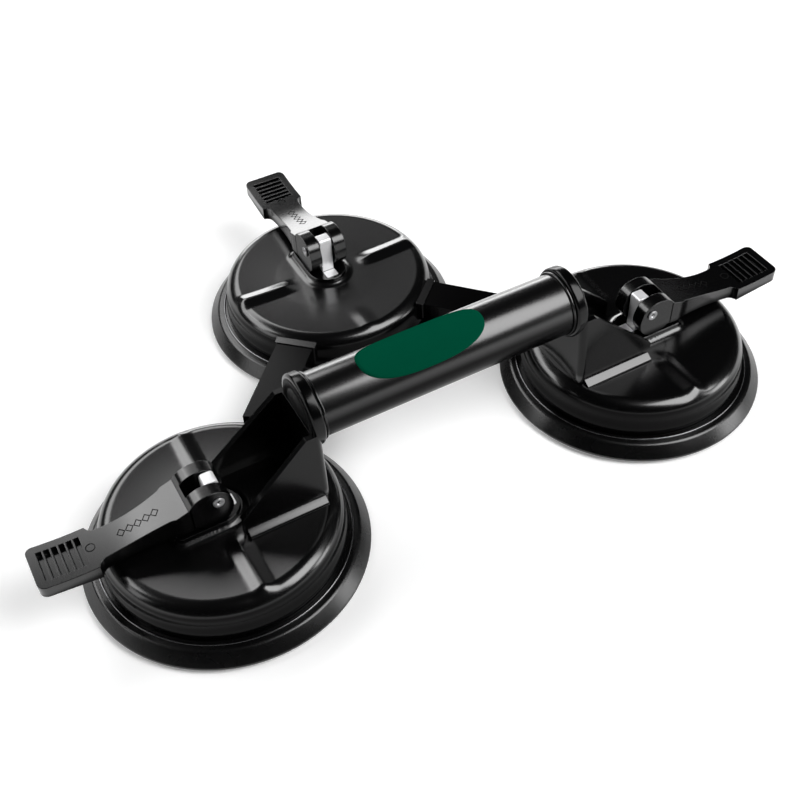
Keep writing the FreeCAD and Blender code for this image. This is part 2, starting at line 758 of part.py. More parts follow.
def bracket(cup):
    """Two webs and an end wall that carry the grip tube in a round collar; cast on an outer housing."""
    body = new_body(cup + "_bracket_casting")
    block = outline(body, cup + "_bracket", "YZ_Plane",
                    arch_outline("bracket_foot", "collar_radius", "rib_base"), "wall_start")
    walls = pad(body, block, "bracket_length")

    def on_end_wall(edge):
        box = edge.BoundBox
        flat = near(box.XMin, "wall_start") and near(box.XMax, "wall_start")
        return flat and box.ZMax > size("seat_top")

    round_edges(body, walls, "corner_round", on_end_wall)
    ring = circles(body, cup + "_collar", "YZ_Plane", [("0", "tube_height", "collar_radius")], "collar_start")
    collar = pad(body, ring, "collar_width")

    def on_collar_face(edge):
        box = edge.BoundBox
        return near(box.XMin, "collar_start") and near(box.XMax, "collar_start")

    bevel_edges(body, collar, "collar_bevel", on_collar_face)
    slope = outline(body, cup + "_web_slope", "XZ_Plane", [
        ("collar_end", "slope_cut_top"),
        ("collar_end", "step_round_z"),
        ("step_round_x", "step_height", "collar_round", 1),
        ("step_end", "step_height"),
        ("-web_end", "web_end_height"),
        ("web_end", "web_end_height"),
        ("web_end", "slope_cut_top"),
    ])
    pocket(body, slope, both_ways=True)
    trough = outline(body, cup + "_trough", "YZ_Plane", [
        ("-trough_foot", "ceiling_height"),
        ("trough_foot", "ceiling_height"),
        ("trough_half_width", "tube_height"),
        ("-trough_half_width", "tube_height"),
    ], "trough_start")
    opened = pocket(body, trough, "trough_length", reverse=True)

    def on_web_end(edge):
        box = edge.BoundBox
        return near(box.XMin, "-web_end") and near(box.XMax, "-web_end") and box.ZLength > box.YLength and (
            box.ZMax > size("dome_height"))

    round_edges(body, opened, "web_end_round", on_web_end)
    bore = circles(body, cup + "_collar_bore", "YZ_Plane", [("0", "tube_height", "collar_bore")],
                   "collar_start")
    pocket(body, bore, "bore_depth", reverse=True)
    bar = outline(body, cup + "_foot_bar", "YZ_Plane", [
        ("-foot_bar_outer", "dish_floor"),
        ("-trough_foot", "rib_base"),
        ("-bracket_foot", "foot_bar_top"),
    ], "foot_bar_from")
    near_bar = pad(body, bar, "foot_bar_length")
    both = body.newObject("PartDesign::Mirrored", cup + "_foot_bars")
    both.Originals = [near_bar]
    both.MirrorPlane = (origin_feature(body, "XZ_Plane"), [""])
    body.Tip = both
    return body


def add_window(body, cup):
    """Cut the opening for the draw bar through the boss."""
    window = outline(body, cup + "_window", "XY_Plane", window_outline())
    pocket(body, window, both_ways=True)


def outer_housing(cup, side):
    """Housing of an outer cup, with its bracket and the holes for the screws of the rear housing's arm."""
    body = housing_shell(cup)
    add_ribs(body, cup)
    add_boss(body, cup)
    add_window(body, cup)
    casting = doc.addObject("Part::MultiFuse", cup + "_casting")
    casting.Shapes = [stand_at_cup(body, cup), stand_at_cup(bracket(cup), cup)]
    drilled = doc.addObject("Part::Cut", cup + "_cup_housing")
    drilled.Base = casting
    drilled.Tool = stand_at_arm(screw_drill(cup + "_screw_drill"), side)
    return drilled


def screw_pair(radius):
    """The two circles of an arm's screws."""
    return [("-screw_offset", "screw_height", radius), ("screw_offset", "screw_height", radius)]


def screw_drill(name):
    """Where the screws of an arm go through a skirt: holes, and flat seats for the heads."""
    body = new_body(name)
    holes = circles(body, name + "_holes", "YZ_Plane", screw_pair("screw_hole"), "screw_hole_start")
    pad(body, holes, "screw_hole_length")
    seats = circles(body, name + "_seats", "YZ_Plane", screw_pair("screw_spot"), "screw_seat")
    pad(body, seats, "screw_head")
    return body


def arm(name):
    """Channel-section arm, open below, whose closed end is cut to the outer housing's skirt."""
    body = new_body(name)
    channel = outline(body, name + "_channel", "YZ_Plane", [
        ("-link_half_width", "link_bottom"),
        ("-link_inner_half", "link_bottom"),
        ("-link_inner_half", "link_ceiling"),
        ("link_inner_half", "link_ceiling"),
        ("link_inner_half", "link_bottom"),
        ("link_half_width", "link_bottom"),
        ("link_half_width", "link_top"),
        ("-link_half_width", "link_top"),
    ], "link_root")
    pad(body, channel, "link_length")
    cover = outline(body, name + "_root", "YZ_Plane",
                    rectangle(("-link_half_width", "link_ceiling"), ("link_half_width", "link_top")),
                    "link_top_root")
    pad(body, cover, "link_top_length")
    end = outline(body, name + "_end", "YZ_Plane",
                  rectangle(("-link_half_width", "link_bottom"), ("link_half_width", "link_top")),
                  "link_end_start")
    pad(body, end, "link_end_length")
    skirt = circles(body, name + "_skirt_cut", "XY_Plane", [("link_span", "0", "link_cut_radius")])
    pocket(body, skirt, both_ways=True)
    threads = circles(body, name + "_threads", "YZ_Plane", screw_pair("screw_thread"), "screw_hole_start")
    pocket(body, threads, "screw_hole_length", reverse=True)
    return body


def stand_at_arm(thing, side):
    """Place a piece drawn along an arm: side is -1 for the left arm and +1 for the right."""
    turn = "rotation(vector(0; 0; 1); -90 + %d * Sizes.link_angle / 1 deg)" % side
    thing.setExpression("Placement", "placement(vector(0; Sizes.rear_y; 0); %s)" % turn)
    return thing


def rear_housing():
    """Rear housing, cast in one with the two arms that reach the outer cups."""
    body = housing_shell("rear")
    add_ribs(body, "rear", towards_tube=True)
    add_boss(body, "rear")
    add_window(body, "rear")
    stand_at_cup(body, "rear")
    arms = [stand_at_arm(arm(name), side) for name, side in (("left_arm", -1), ("right_arm", 1))]
    joined = doc.addObject("Part::MultiFuse", "rear_cup_housing")
    joined.Shapes = [body] + arms
    return joined


def link_screws():
    """Four cheese-head screws that hold the arms to the outer housings, driven from inside them."""
    pairs = []
    for name, side in (("left_screws", -1), ("right_screws", 1)):
        body = new_body(name)
        heads = circles(body, name + "_heads", "YZ_Plane", screw_pair("screw_head_radius"), "screw_seat")
        pad(body, heads, "screw_head")
        shanks = circles(body, name + "_shanks", "YZ_Plane", screw_pair("screw_radius"), "screw_tip")
        pad(body, shanks, "screw_length")
        pairs.append(stand_at_arm(body, side))
    joined = doc.addObject("Part::Compound", "link_screws")
    joined.Links = pairs
    return joined


# ---------------------------------------------------------------------------------------------- lever
def cam_lever(cup):
    """Cast lever: a fork whose two ears are the cams, a waisted arm and a ribbed thumb grip."""
    body = new_body(cup + "_cam_lever")
    side = outline(body, cup + "_lever_side", "XZ_Plane", [
        ("waist_start", "arm_start_bottom"),
        ("grip_shoulder", "shoulder_bottom"),
        ("lever_reach", "tip_bottom"),
        ("lever_reach", "tip_top"),
        ("waist_start", "waist_top", "lever_sweep", -1),
        ("ear_rear", "ear_top_height"),
        ("ear_front", "ear_top_height"),
        ("ear_face", "ear_face_height", "ear_round", 1),
        ("cam_lead_x", "cam_lead_z"),
        ("cam_tail_x", "cam_tail_z", "cam_radius", 1),
    ])
    pad(body, side, "grip_width", both_ways=True)
    beside = outline(body, cup + "_lever_beside", "XY_Plane", [
        ("-seat_tail", "ear_half_width"),
        ("waist_start", "ear_half_width"),
        ("waist_from", "waist_shoulder"),
        ("notch_start", "neck_half_width", "waist_sweep", 1),
        ("grip_shoulder", "grip_half_width", "notch_round", 1),
        ("grip_shoulder", "grip_width"),
        ("-seat_tail", "grip_width"),
    ])
    one_side = pocket(body, beside, both_ways=True)
    both = body.newObject("PartDesign::Mirrored", cup + "_lever_waist")
    both.Originals = [one_side]
    both.MirrorPlane = (origin_feature(body, "XZ_Plane"), [""])
    body.Tip = both

    def on_tip(edge):
        box = edge.BoundBox
        return near(box.XMin, "lever_reach") and near(box.XMax, "lever_reach") and box.ZLength > box.YLength

    round_edges(body, both, "tip_corner", on_tip)
    fork = outline(body, cup + "_fork", "XY_Plane",
                   rectangle(("-seat_tail", "-fork_half_width"), ("fork_root", "fork_half_width")))
    pocket(body, fork, both_ways=True)
    bore = circles(body, cup + "_lever_bore", "XZ_Plane", [("pivot_offset", "pivot_height", "pin_hole")])
    pocket(body, bore, both_ways=True)
    slot = outline(body, cup + "_slot", "XY_Plane",
                   rectangle(("slot_near", "-slot_half_length"), ("slot_first", "slot_half_length")),
                   "slot_floor")
    first = pocket(body, slot, "grip_depth", reverse=True)
    row = body.newObject("PartDesign::LinearPattern", cup + "_slots")
    row.Originals = [first]
    row.Direction = (origin_feature(body, "X_Axis"), [""])
    row.Reversed = True
    row.Length = size("slot_run")
    row.setExpression("Length", cell("slot_run"))
    row.Occurrences = int(size("slot_count"))
    row.setExpression("Occurrences", cell("slot_count"))
    body.Tip = row
    return body


# ----------------------------------------------------------------------------------------- grip tube
def stand_at_tube(thing, turn=0.0):
    """Place a piece drawn with the tube's axis over its own X axis."""
    thing.Placement = Placement(Vector(0, size("row_y"), 0), Rotation(Vector(0, 0, 1), turn))
    thing.setExpression("Placement.Base.y", cell("row_y"))
    return thing


def sleeve(name, start, length, outer, inner):
    """A round sleeve about the tube's axis."""
    body = new_body(name)
    ring = circles(body, name + "_rings", "YZ_Plane",
                   [("0", "tube_height", outer), ("0", "tube_height", inner)], start)
    pad(body, ring, length)
    return body


def grip_tube():
    """Round steel tube that is held between the two brackets."""
    body = new_body("grip_tube")
    ring = circles(body, "grip_tube_rings", "YZ_Plane",
                   [("0", "tube_height", "tube_radius"), ("0", "tube_height", "tube_inner_radius")])
    pad(body, ring, "tube_length", both_ways=True)
    return stand_at_tube(body)


def tube_ring(side, turn):
    """Thin shouldered ring on the tube, against a bracket's collar."""
    body = sleeve(side + "_tube_ring", "ring_start", "ring_width", "ring_radius", "ring_bore")

    def outside(edge):
        box = edge.BoundBox
        return box.ZMax > size("tube_height") + size("ring_bore") + size("fit_gap")

    bevel_edges(body, body.Tip, "ring_bevel", outside)
    return stand_at_tube(body, turn)


def tube_plug(side, turn):
    """Plastic plug that closes an end of the tube inside the bracket."""
    name = side + "_tube_plug"
    body = sleeve(name, "spigot_start", "spigot_length", "plug_radius", "spigot_bore")
    cap = circles(body, name + "_cap", "YZ_Plane", [("0", "tube_height", "tube_radius")], "cap_start")
    pad(body, cap, "plug_cap")
    return stand_at_tube(body, turn)


def grip_label():
    """Plain oval label wrapped round the tube."""
    shell = stand_at_tube(sleeve("label_shell", "-label_half_length", "label_length",
                                 "label_radius", "label_bore"))
    shell.Placement.Base.x = -size("label_half_length")
    shell.setExpression("Placement.Base.x", cell("-label_half_length"))
    oval = doc.addObject("Part::Ellipse", "label_oval")
    bind(oval, MajorRadius="label_half_length", MinorRadius="label_half_width")
    oval.Placement = Placement(Vector(size("label_shift"), size("row_y"), size("tube_height")),
                               Rotation(Vector(1, 0, 0), size("label_tilt")))
    oval.setExpression("Placement.Base.x", cell("label_shift"))
    oval.setExpression("Placement.Base.y", cell("row_y"))
    oval.setExpression("Placement.Base.z", cell("tube_height"))
    oval.setExpression("Placement.Rotation.Angle", "1 deg * Sizes.label_tilt")
    prism = doc.addObject("Part::Extrusion", "label_prism")
    prism.Base = oval
    prism.DirMode = "Normal"
    prism.Solid = True
    bind(prism, LengthFwd="label_height")
    label = doc.addObject("Part::Common", "grip_label")
    label.Base = shell
    label.Tool = prism
    return label


# ------------------------------------------------------------------------------------------- assembly
def build_cup(cup):
    """Build the pieces inside and on top of one cup."""
    makers = {
        "rubber_disc": rubber_disc,
        "backing_plate": backing_plate,
        "draw_bar": draw_bar,
        "pivot_pin": pivot_pin,
        "return_spring": return_spring,
        "cam_seat": cam_seat,
        "slide_strip": slide_strip,
        "cam_lever": cam_lever,
    }
    for piece, make in makers.items():
        keep(cup + "_" + piece, stand_at_cup(make(cup), cup))


def build():
    """Build every piece of the lifter."""
    fill_sheet()
    for cup in CUPS:
        build_cup(cup)
    keep("left_cup_housing", outer_housing("left", -1))
    keep("right_cup_housing", outer_housing("right", 1))
    keep("rear_cup_housing", rear_housing())
    keep("grip_tube", grip_tube())
    for side, turn in (("right", 0.0), ("left", 180.0)):
        keep(side + "_tube_ring", tube_ring(side, turn))
        keep(side + "_tube_plug", tube_plug(side, turn))
    keep("grip_label", grip_label())
    keep("link_screws", link_screws())
    doc.recompute()


def check_and_export():
    """Stop at any feature in error or any bad shape, then write one STEP file per piece."""
    faulty = [thing.Name for thing in doc.Objects if {"Invalid", "Error"} & set(thing.State)]
    if faulty:
        raise RuntimeError("in error: " + ", ".join(faulty))
    os.makedirs("parts", exist_ok=True)
    for name, thing in NODES.items():
        shape = thing.Shape
        if shape.isNull() or not shape.isValid():
            raise RuntimeError("bad shape: " + name)
        print("%-22s %d solids %9.1f mm3" % (name, len(shape.Solids), shape.Volume))
        shape.exportStep("parts/%s.step" % name)


build()
check_and_export()
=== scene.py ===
"""Visual model of a three-cup suction lifter for floor tiles and glass.

Each sub-assembly is a class.  Its sizes are dataclass fields in millimetres, in a frame of its own, and its
methods shape the pieces with bmesh operators.  A cup's frame has the cup's axis as Z and its lever along +X.
"""

import logging
import math
from dataclasses import dataclass
from enum import Enum
from functools import partialmethod
from typing import Optional, Sequence

import bmesh
import bpy
from mathutils import Matrix, Vector


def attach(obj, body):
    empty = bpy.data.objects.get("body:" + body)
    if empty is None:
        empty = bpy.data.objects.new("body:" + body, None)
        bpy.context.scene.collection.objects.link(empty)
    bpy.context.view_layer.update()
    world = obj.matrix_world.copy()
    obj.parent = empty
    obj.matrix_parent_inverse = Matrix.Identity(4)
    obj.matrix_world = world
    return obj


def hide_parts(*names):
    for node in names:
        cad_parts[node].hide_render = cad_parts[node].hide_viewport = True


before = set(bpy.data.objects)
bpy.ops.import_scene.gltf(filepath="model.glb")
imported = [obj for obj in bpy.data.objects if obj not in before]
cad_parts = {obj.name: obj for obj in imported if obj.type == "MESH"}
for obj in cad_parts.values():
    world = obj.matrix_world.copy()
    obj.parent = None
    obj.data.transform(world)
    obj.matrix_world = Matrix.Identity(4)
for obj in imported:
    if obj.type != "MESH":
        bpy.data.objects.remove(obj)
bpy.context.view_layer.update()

MM = 0.001
ROUND_STEPS = 144                # steps of a full turn on the large round pieces
LOG = logging.getLogger("lifter")

Point = Sequence[float]
Colour = tuple[float, float, float]
Rounds = Optional[dict[int, float]]


def ease(amount: float) -> float:
    """Return a smooth step from 0 to 1."""
    held = min(max(amount, 0.0), 1.0)
    return held * held * (3.0 - 2.0 * held)


def put(name: str, data: bpy.types.ID, matrix: Optional[Matrix] = None) -> bpy.types.Object:
    """Add an object to the scene, at the origin or where a matrix places it."""
    thing = bpy.data.objects.new(name, data)
    if matrix is not None:
        thing.matrix_world = matrix
    bpy.context.scene.collection.objects.link(thing)
    return thing


# ---------- modelling
class Draft:
    """A mesh in the making, in millimetres, in the frame of its own sub-assembly.

    The drawing methods return the draft, so that one step can follow another.
    """

    def __init__(self) -> None:
        """Start with nothing drawn."""
        self.bm = bmesh.new()

    def line(self, points: Sequence[Point], rounds: Rounds = None, closed: bool = False) -> "Draft":
        """Draw a run of straight edges and round some of its corners.

        Args:
            points: the corners, as (x, y, z).
            rounds: corner index to the distance from the corner at which its round starts.
            closed: whether the last corner joins the first.
        """
        verts = [self.bm.verts.new(p) for p in points]
        pairs = list(zip(verts, verts[1:]))
        if closed:
            pairs.append((verts[-1], verts[0]))
        for pair in pairs:
            self.bm.edges.new(pair)
        for index, distance in (rounds or {}).items():
            bmesh.ops.bevel(self.bm, geom=[verts[index]], offset=distance, offset_type="OFFSET",
                            segments=8, profile=0.5, affect="VERTICES", material=-1)
        return self

    def arc(self, start: Point, centre: Point, axis: Point, degrees: float, steps: int) -> "Draft":
        """Draw a round run of edges by turning a point about an axis."""
        point = self.bm.verts.new(start)
        bmesh.ops.spin(self.bm, geom=[point], cent=centre, axis=axis, angle=math.radians(degrees),
                       steps=steps, use_merge=False, use_duplicate=False)
        return self

    def fill(self) -> "Draft":
        """Join the drawn runs where they meet and close each loop with a face."""
        self._merge()
        bmesh.ops.contextual_create(self.bm, geom=self.bm.edges[:])
        return self

    def lathe(self, profile: Sequence[tuple[float, float]], rounds: Rounds = None, closed: bool = False,
              axis: str = "Z", centre: Point = (0, 0, 0), steps: int = ROUND_STEPS) -> "Draft":
        """Turn a profile right round an axis, which makes a closed round piece.

        Args:
            profile: its corners, as the distance from the axis and the place along it.
            rounds: as for a line.
            closed: as for a line; a profile with both ends on the axis stays open.
            axis: name of the axis's direction.
            centre: the point on the axis where places along it are zero.
            steps: number of steps of the full turn.
        """
        way = Vector([float(name == axis) for name in "XYZ"])
        out = Vector((1, 0, 0) if axis == "Z" else (0, 0, 1))
        self.line([Vector(centre) + out * reach + way * along for reach, along in profile], rounds, closed)
        bmesh.ops.spin(self.bm, geom=self.bm.verts[:] + self.bm.edges[:], cent=centre, axis=way,
                       angle=math.tau, steps=steps, use_merge=True, use_duplicate=False)
        self._merge()
        return self.face_out()

    def draw_out(self, reach: Point) -> list[bmesh.types.BMVert]:
        """Draw every face out along a vector, which makes a closed solid of a flat outline.

        Args:
            reach: the vector.

        Returns:
            The points of the far end.
        """
        grown = bmesh.ops.extrude_face_region(self.bm, geom=self.bm.faces[:], use_keep_orig=True)
        far = [g for g in grown["geom"] if isinstance(g, bmesh.types.BMVert)]
        bmesh.ops.translate(self.bm, verts=far, vec=reach)
        self.face_out()
        return far

    def plate(self, points: Sequence[Point], reach: Point, rounds: Rounds = None) -> "Draft":
        """Make a solid of an outline with rounded corners, drawn out along a vector."""
        self.line(points, rounds, closed=True).fill().draw_out(reach)
        return self

    def block(self, low: Point, high: Point, rounds: Rounds = None) -> "Draft":
        """Make a block between two corners, with some of its upright edges rounded."""
        (x0, y0, z0), (x1, y1, z1) = low, high
        outline = [(x0, y0, z0), (x1, y0, z0), (x1, y1, z0), (x0, y1, z0)]
        return self.plate(outline, (0, 0, z1 - z0), rounds)

    def tongue(self, nose: float, tail: float, half: float, height: tuple[float, float], corner: float,
               steps: int) -> "Draft":
        """Make a slab along X, as high as the span given, with a half-round end about the nose.

        Args:
            nose: centre of the round end.
            tail: place of the straight end.
            half: half the width, which is also the round end's radius.
            height: height of the lower and the upper face.
            corner: size of the rounds at the straight end.
            steps: number of steps of the round end.
        """
        low, top = height
        self.line([(nose, -half, low), (tail, -half, low), (tail, half, low), (nose, half, low)],
                  {1: corner, 2: corner})
        self.arc((nose, half, low), (nose, 0, low), (0, 0, 1), 180.0, steps).fill()
        self.draw_out((0, 0, top - low))
        return self

    def _merge(self) -> None:
        """Merge points that coincide."""
        bmesh.ops.remove_doubles(self.bm, verts=self.bm.verts[:], dist=0.002)

    def face_out(self) -> "Draft":
        """Turn all faces outwards."""
        bmesh.ops.recalc_face_normals(self.bm, faces=self.bm.faces[:])
        return self

    def _everything(self) -> list:
        """Return all points, edges and faces."""
        return self.bm.verts[:] + self.bm.edges[:] + self.bm.faces[:]

    def slice(self, point: Point, normal: Point) -> "Draft":
        """Cut away what lies beyond a plane, on its normal's side, and close the cut."""
        cut = bmesh.ops.bisect_plane(self.bm, geom=self._everything(), plane_co=point, plane_no=normal,
                                     clear_outer=True)
        rim = [g for g in cut["geom_cut"] if isinstance(g, bmesh.types.BMEdge)]
        bmesh.ops.holes_fill(self.bm, edges=rim, sides=0)
        return self.face_out()

    def mirrored(self) -> "Draft":
        """Add the mirror image on the other side of the XZ plane, and keep the two apart."""
        twin = bmesh.ops.duplicate(self.bm, geom=self._everything())
        verts = [g for g in twin["geom"] if isinstance(g, bmesh.types.BMVert)]
        bmesh.ops.scale(self.bm, vec=(1, -1, 1), verts=verts)
        return self.face_out()

    def moved(self, matrix: Matrix) -> "Draft":
        """Move everything drawn by a matrix."""
        bmesh.ops.transform(self.bm, matrix=matrix, verts=self.bm.verts[:])
        return self

    def mesh(self, name: str) -> bpy.types.Mesh:
        """End the draft and return it as a mesh."""
        mesh = bpy.data.meshes.new(name)
        self.bm.to_mesh(mesh)
        self.bm.free()
        return mesh

    def add(self, other: "Draft") -> "Draft":
        """Take in another draft as loose shells beside this one's, which ends the other."""
        spare = other.mesh("spare")
        self.bm.from_mesh(spare)
        bpy.data.meshes.remove(spare)
        return self


@dataclass(frozen=True)
class Place:
    """Where a sub-assembly's own frame stands: millimetres, and degrees about Z."""

    x: float
    y: float
    turn: float = 0.0

    def matrix(self) -> Matrix:
        """Return the matrix from this frame's millimetres to the object's metres."""
        turned = Matrix.Rotation(math.radians(self.turn), 4, "Z")
        return Matrix.Scale(MM, 4) @ Matrix.Translation((self.x, self.y, 0.0)) @ turned


@dataclass
class Piece:
    """A finished piece, and how it is cut and rounded off.

    Attributes:
        stands_for: the nodes of the solids that it replaces.
        edge_round: width of the round on its edges in millimetres, or 0 for none.
        sharp_from: angle in degrees from which an edge gets that round.
        hole: a shape cut out of the draft.
        shells: loose shells added to the draft after the cut.
    """

    name: str
    draft: Draft
    place: Place
    body: str
    material: bpy.types.Material
    slot: str
    stands_for: tuple[str, ...] = ()
    edge_round: float = 0.0
    sharp_from: float = 32.0
    hole: Optional[Draft] = None
    shells: Sequence[Draft] = ()

    def build(self) -> bpy.types.Object:
        """Make the object, cut its hole, round its edges and hang it on its body.

        Returns:
            The object, which sits at the origin with its place in its mesh.
        """
        thing = put(self.name, self._mesh(self.draft))
        if self.hole is not None:
            self._cut(thing, put(self.name + "_hole", self._mesh(self.hole)))
        if self.shells:
            self._join(thing.data)
        for face in thing.data.polygons:
            face.use_smooth = True
        thing.data.materials.append(self.material)
        if self.edge_round > 0.0:
            bevel = thing.modifiers.new("rounded edges", "BEVEL")
            bevel.width = self.edge_round * MM
            bevel.segments = 3
            bevel.limit_method = "ANGLE"
            bevel.angle_limit = math.radians(self.sharp_from)
            bevel.harden_normals = True
            bevel.use_clamp_overlap = True
        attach(thing, self.body)
        if self.stands_for:
            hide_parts(*self.stands_for)
        LOG.info("%s: %d faces", self.name, len(thing.data.polygons))
        return thing

    def _mesh(self, draft: Draft) -> bpy.types.Mesh:
        """Return a draft as a mesh in the object's metres."""
        return draft.moved(self.place.matrix()).mesh(self.name)

    @staticmethod
    def _cut(thing: bpy.types.Object, cutter: bpy.types.Object) -> None:
        """Cut another object's shape out of the mesh, and remove the other."""
        drill = thing.modifiers.new("hole", "BOOLEAN")
        drill.operation = "DIFFERENCE"
        drill.solver = "EXACT"
        drill.object = cutter
        seen = thing.evaluated_get(bpy.context.evaluated_depsgraph_get())
        carved = bpy.data.meshes.new_from_object(seen)
        thing.modifiers.clear()
        thing.data = carved
        bpy.data.objects.remove(cutter)

    def _join(self, mesh: bpy.types.Mesh) -> None:
        """Add the shells to the mesh."""
        whole = bmesh.new()
        whole.from_mesh(mesh)
        for shell in self.shells:
            whole.from_mesh(self._mesh(shell))
        whole.to_mesh(mesh)
        whole.free()


class Cup(Enum):
    """The three cups, each with the place of its own frame."""

    LEFT = Place(-100.5, -60.6, 180.0)
    RIGHT = Place(100.5, -60.6, 0.0)
    REAR = Place(0.0, 46.6, 90.0)

    def build(self, kind: str, draft: Draft, material: bpy.types.Material, slot: str, node: str = "",
              body: str = "", **more: object) -> None:
        """Build one of this cup's pieces.

        Args:
            kind: the piece's name, to which the cup's is added.
            draft: its shape.
            material: its finish.
            slot: the material slot of the solids that it belongs to; kept on the piece but not used.
            node: the node it stands for, without the cup's name, if there is one.
            body: the cup's moving body that it rides on; the root body where it's empty.
            more: how it is cut and rounded off, as Piece has it.
        """
        label = self.name.lower()
        Piece(kind + "_" + label, draft, self.value, label + "_" + body if body else "root", material, slot,
              (label + "_" + node,) if node else (), **more).build()


# ---------- finishes
class Wire:
    """A node socket that takes part in Python sums; each sum adds a Math node."""

    def __init__(self, shop: "Workshop", socket: bpy.types.NodeSocket) -> None:
        """Wrap a socket of a workshop's node tree."""
        self.shop = shop
        self.socket = socket

    def _sum(self, other: object, operation: str, swapped: bool = False) -> "Wire":
        """Add a Math node on this and another value, or on the other and this, and return its result."""
        first, second = (other, self) if swapped else (self, other)
        return self.shop.node("ShaderNodeMath", {"operation": operation}, {0: first, 1: second})

    __add__ = partialmethod(_sum, operation="ADD")
    __radd__ = partialmethod(_sum, operation="ADD", swapped=True)
    __sub__ = partialmethod(_sum, operation="SUBTRACT")
    __rsub__ = partialmethod(_sum, operation="SUBTRACT", swapped=True)
    __mul__ = partialmethod(_sum, operation="MULTIPLY")


class Workshop:
    """The node tree of one material, with its shader."""

    def __init__(self, name: str) -> None:
        """Start a material with a Principled shader."""
        self.material = bpy.data.materials.new(name)
        self.material.use_nodes = True
        self.tree = self.material.node_tree
        self.shader = self.tree.nodes["Principled BSDF"]

    def _set(self, socket: bpy.types.NodeSocket, value: object) -> None:
        """Set a socket to a value, or link a Wire to it."""
        if isinstance(value, Wire):
            self.tree.links.new(value.socket, socket)
        else:
            socket.default_value = value

    def feed(self, **values: object) -> None:
        """Set sockets of the shader to values or Wires; an underscore stands for a space."""
        for name, value in values.items():
            self._set(self.shader.inputs[name.replace("_", " ")], value)

    def node(self, kind: str, settings: dict, inputs: dict, output: object = 0) -> Wire:
        """Add a node.

        Args:
            kind: the node's type.
            settings: its properties, set first.
            inputs: socket name or number to a value or a Wire.
            output: name or number of the output to return.

        Returns:
            The output, wrapped.
        """
        node = self.tree.nodes.new(kind)
        for key, value in settings.items():
            setattr(node, key, value)
        for key, value in inputs.items():
            self._set(node.inputs[key], value)
        return Wire(self, node.outputs[output])

    def place(self) -> Wire:
        """Return the point on the piece, in metres of the whole object."""
        return self.node("ShaderNodeTexCoord", {}, {}, "Object")

    def noise(self, scale: float, detail: float, stretch: Point = (1, 1, 1)) -> Wire:
        """Return a noise of about 0 to 1, with its scale per metre."""
        where = self.node("ShaderNodeMapping", {}, {"Vector": self.place(), "Scale": stretch})
        return self.node("ShaderNodeTexNoise", {}, {"Vector": where, "Scale": scale, "Detail": detail})

    def ramp(self, value: Wire, span: tuple[float, float], start: float = 0.0) -> Wire:
        """Return what eases from a start to 1 while a value crosses a span."""
        return self.node("ShaderNodeMapRange", {"interpolation_type": "SMOOTHSTEP"},
                         {"Value": value, "From Min": span[0], "From Max": span[1], "To Min": start,
                          "To Max": 1.0})

    def rise(self, span: tuple[float, float]) -> Wire:
        """Return 0 below a span of heights and 1 above it, in metres."""
        height = self.node("ShaderNodeSeparateXYZ", {}, {"Vector": self.place()}, "Z")
        return self.ramp(height, span)

    def blend(self, amount: Wire, low: Colour, high: Colour) -> Wire:
        """Return a colour between two, by an amount from 0 to 1."""
        return self.node("ShaderNodeMix", {"data_type": "RGBA"},
                         {0: amount, 6: (*low, 1.0), 7: (*high, 1.0)}, 2)


@dataclass(frozen=True)
class Finish:
    """A surface whose colour and roughness drift with a noise; as it stands, black paint with orange peel.

    Attributes:
        coat: weight of the clear coat at its fullest; it stays off what faces the floor.
        coated: span of heights in metres over which the coat sets in.
        thinned: span of heights in metres over which it loses a share again.
        near: factor on the colour at the noise's low end.
        far: factors on the colour's parts at its high end, where the haze is added too.
        spread: how far the roughness drifts.
        cloud: scale per metre and detail of the noise.
        stretch: factor on its scale along each axis.
        grain: scale per metre and detail of a fine grain; without one the noise itself is the grain.
        depth: depth of the grain in metres.
    """

    name: str
    roughness: float
    coat: float = 0.0
    coated: tuple[float, float] = (0.0182, 0.0205)
    thinned: tuple[float, float] = (0.2, 0.21)
    colour: Colour = (0.0007, 0.0007, 0.0008)
    near: float = 1.0
    far: Colour = (1.7, 1.7, 1.7)
    haze: float = 0.0002
    spread: float = 0.06
    specular: float = 0.08
    metallic: float = 0.0
    coat_ior: float = 1.62
    loss: float = 0.75
    cloud: tuple[float, float] = (38.0, 4.0)
    stretch: Colour = (1.0, 1.0, 1.0)
    grain: Optional[tuple[float, float]] = (900.0, 2.0)
    depth: float = 0.000005

    def make(self) -> bpy.types.Material:
        """Return the material."""
        shop = Workshop(self.name)
        noise = shop.noise(*self.cloud, self.stretch)
        low = tuple(c * self.near for c in self.colour)
        high = tuple(c * share + self.haze for c, share in zip(self.colour, self.far))
        shop.feed(Base_Color=shop.blend(noise, low, high), Metallic=self.metallic,
                  Roughness=self.roughness + (noise - 0.5) * self.spread, Specular_IOR_Level=self.specular)
        if self.coat > 0.0:
            thinner = 1.0 - shop.rise(self.thinned) * self.loss
            shop.feed(Coat_Weight=shop.rise(self.coated) * thinner * self.coat,
                      Coat_Roughness=self.roughness, Coat_IOR=self.coat_ior)
        height = shop.noise(*self.grain) if self.grain else noise
        shop.feed(Normal=shop.node("ShaderNodeBump", {}, {"Height": height, "Distance": self.depth}))
        return shop.material


@dataclass(frozen=True)
class Steel(Finish):
    """Bare steel with fine scratches, which run across the stretched axis."""

    near: float = 0.82
    far: Colour = (1.0, 1.0, 1.0)
    haze: float = 0.0
    spread: float = 0.16
    specular: float = 0.5
    metallic: float = 1.0
    cloud: tuple[float, float] = (420.0, 6.0)
    stretch: Colour = (1.0, 1.0, 12.0)
    grain: Optional[tuple[float, float]] = None
    depth: float = 0.000006


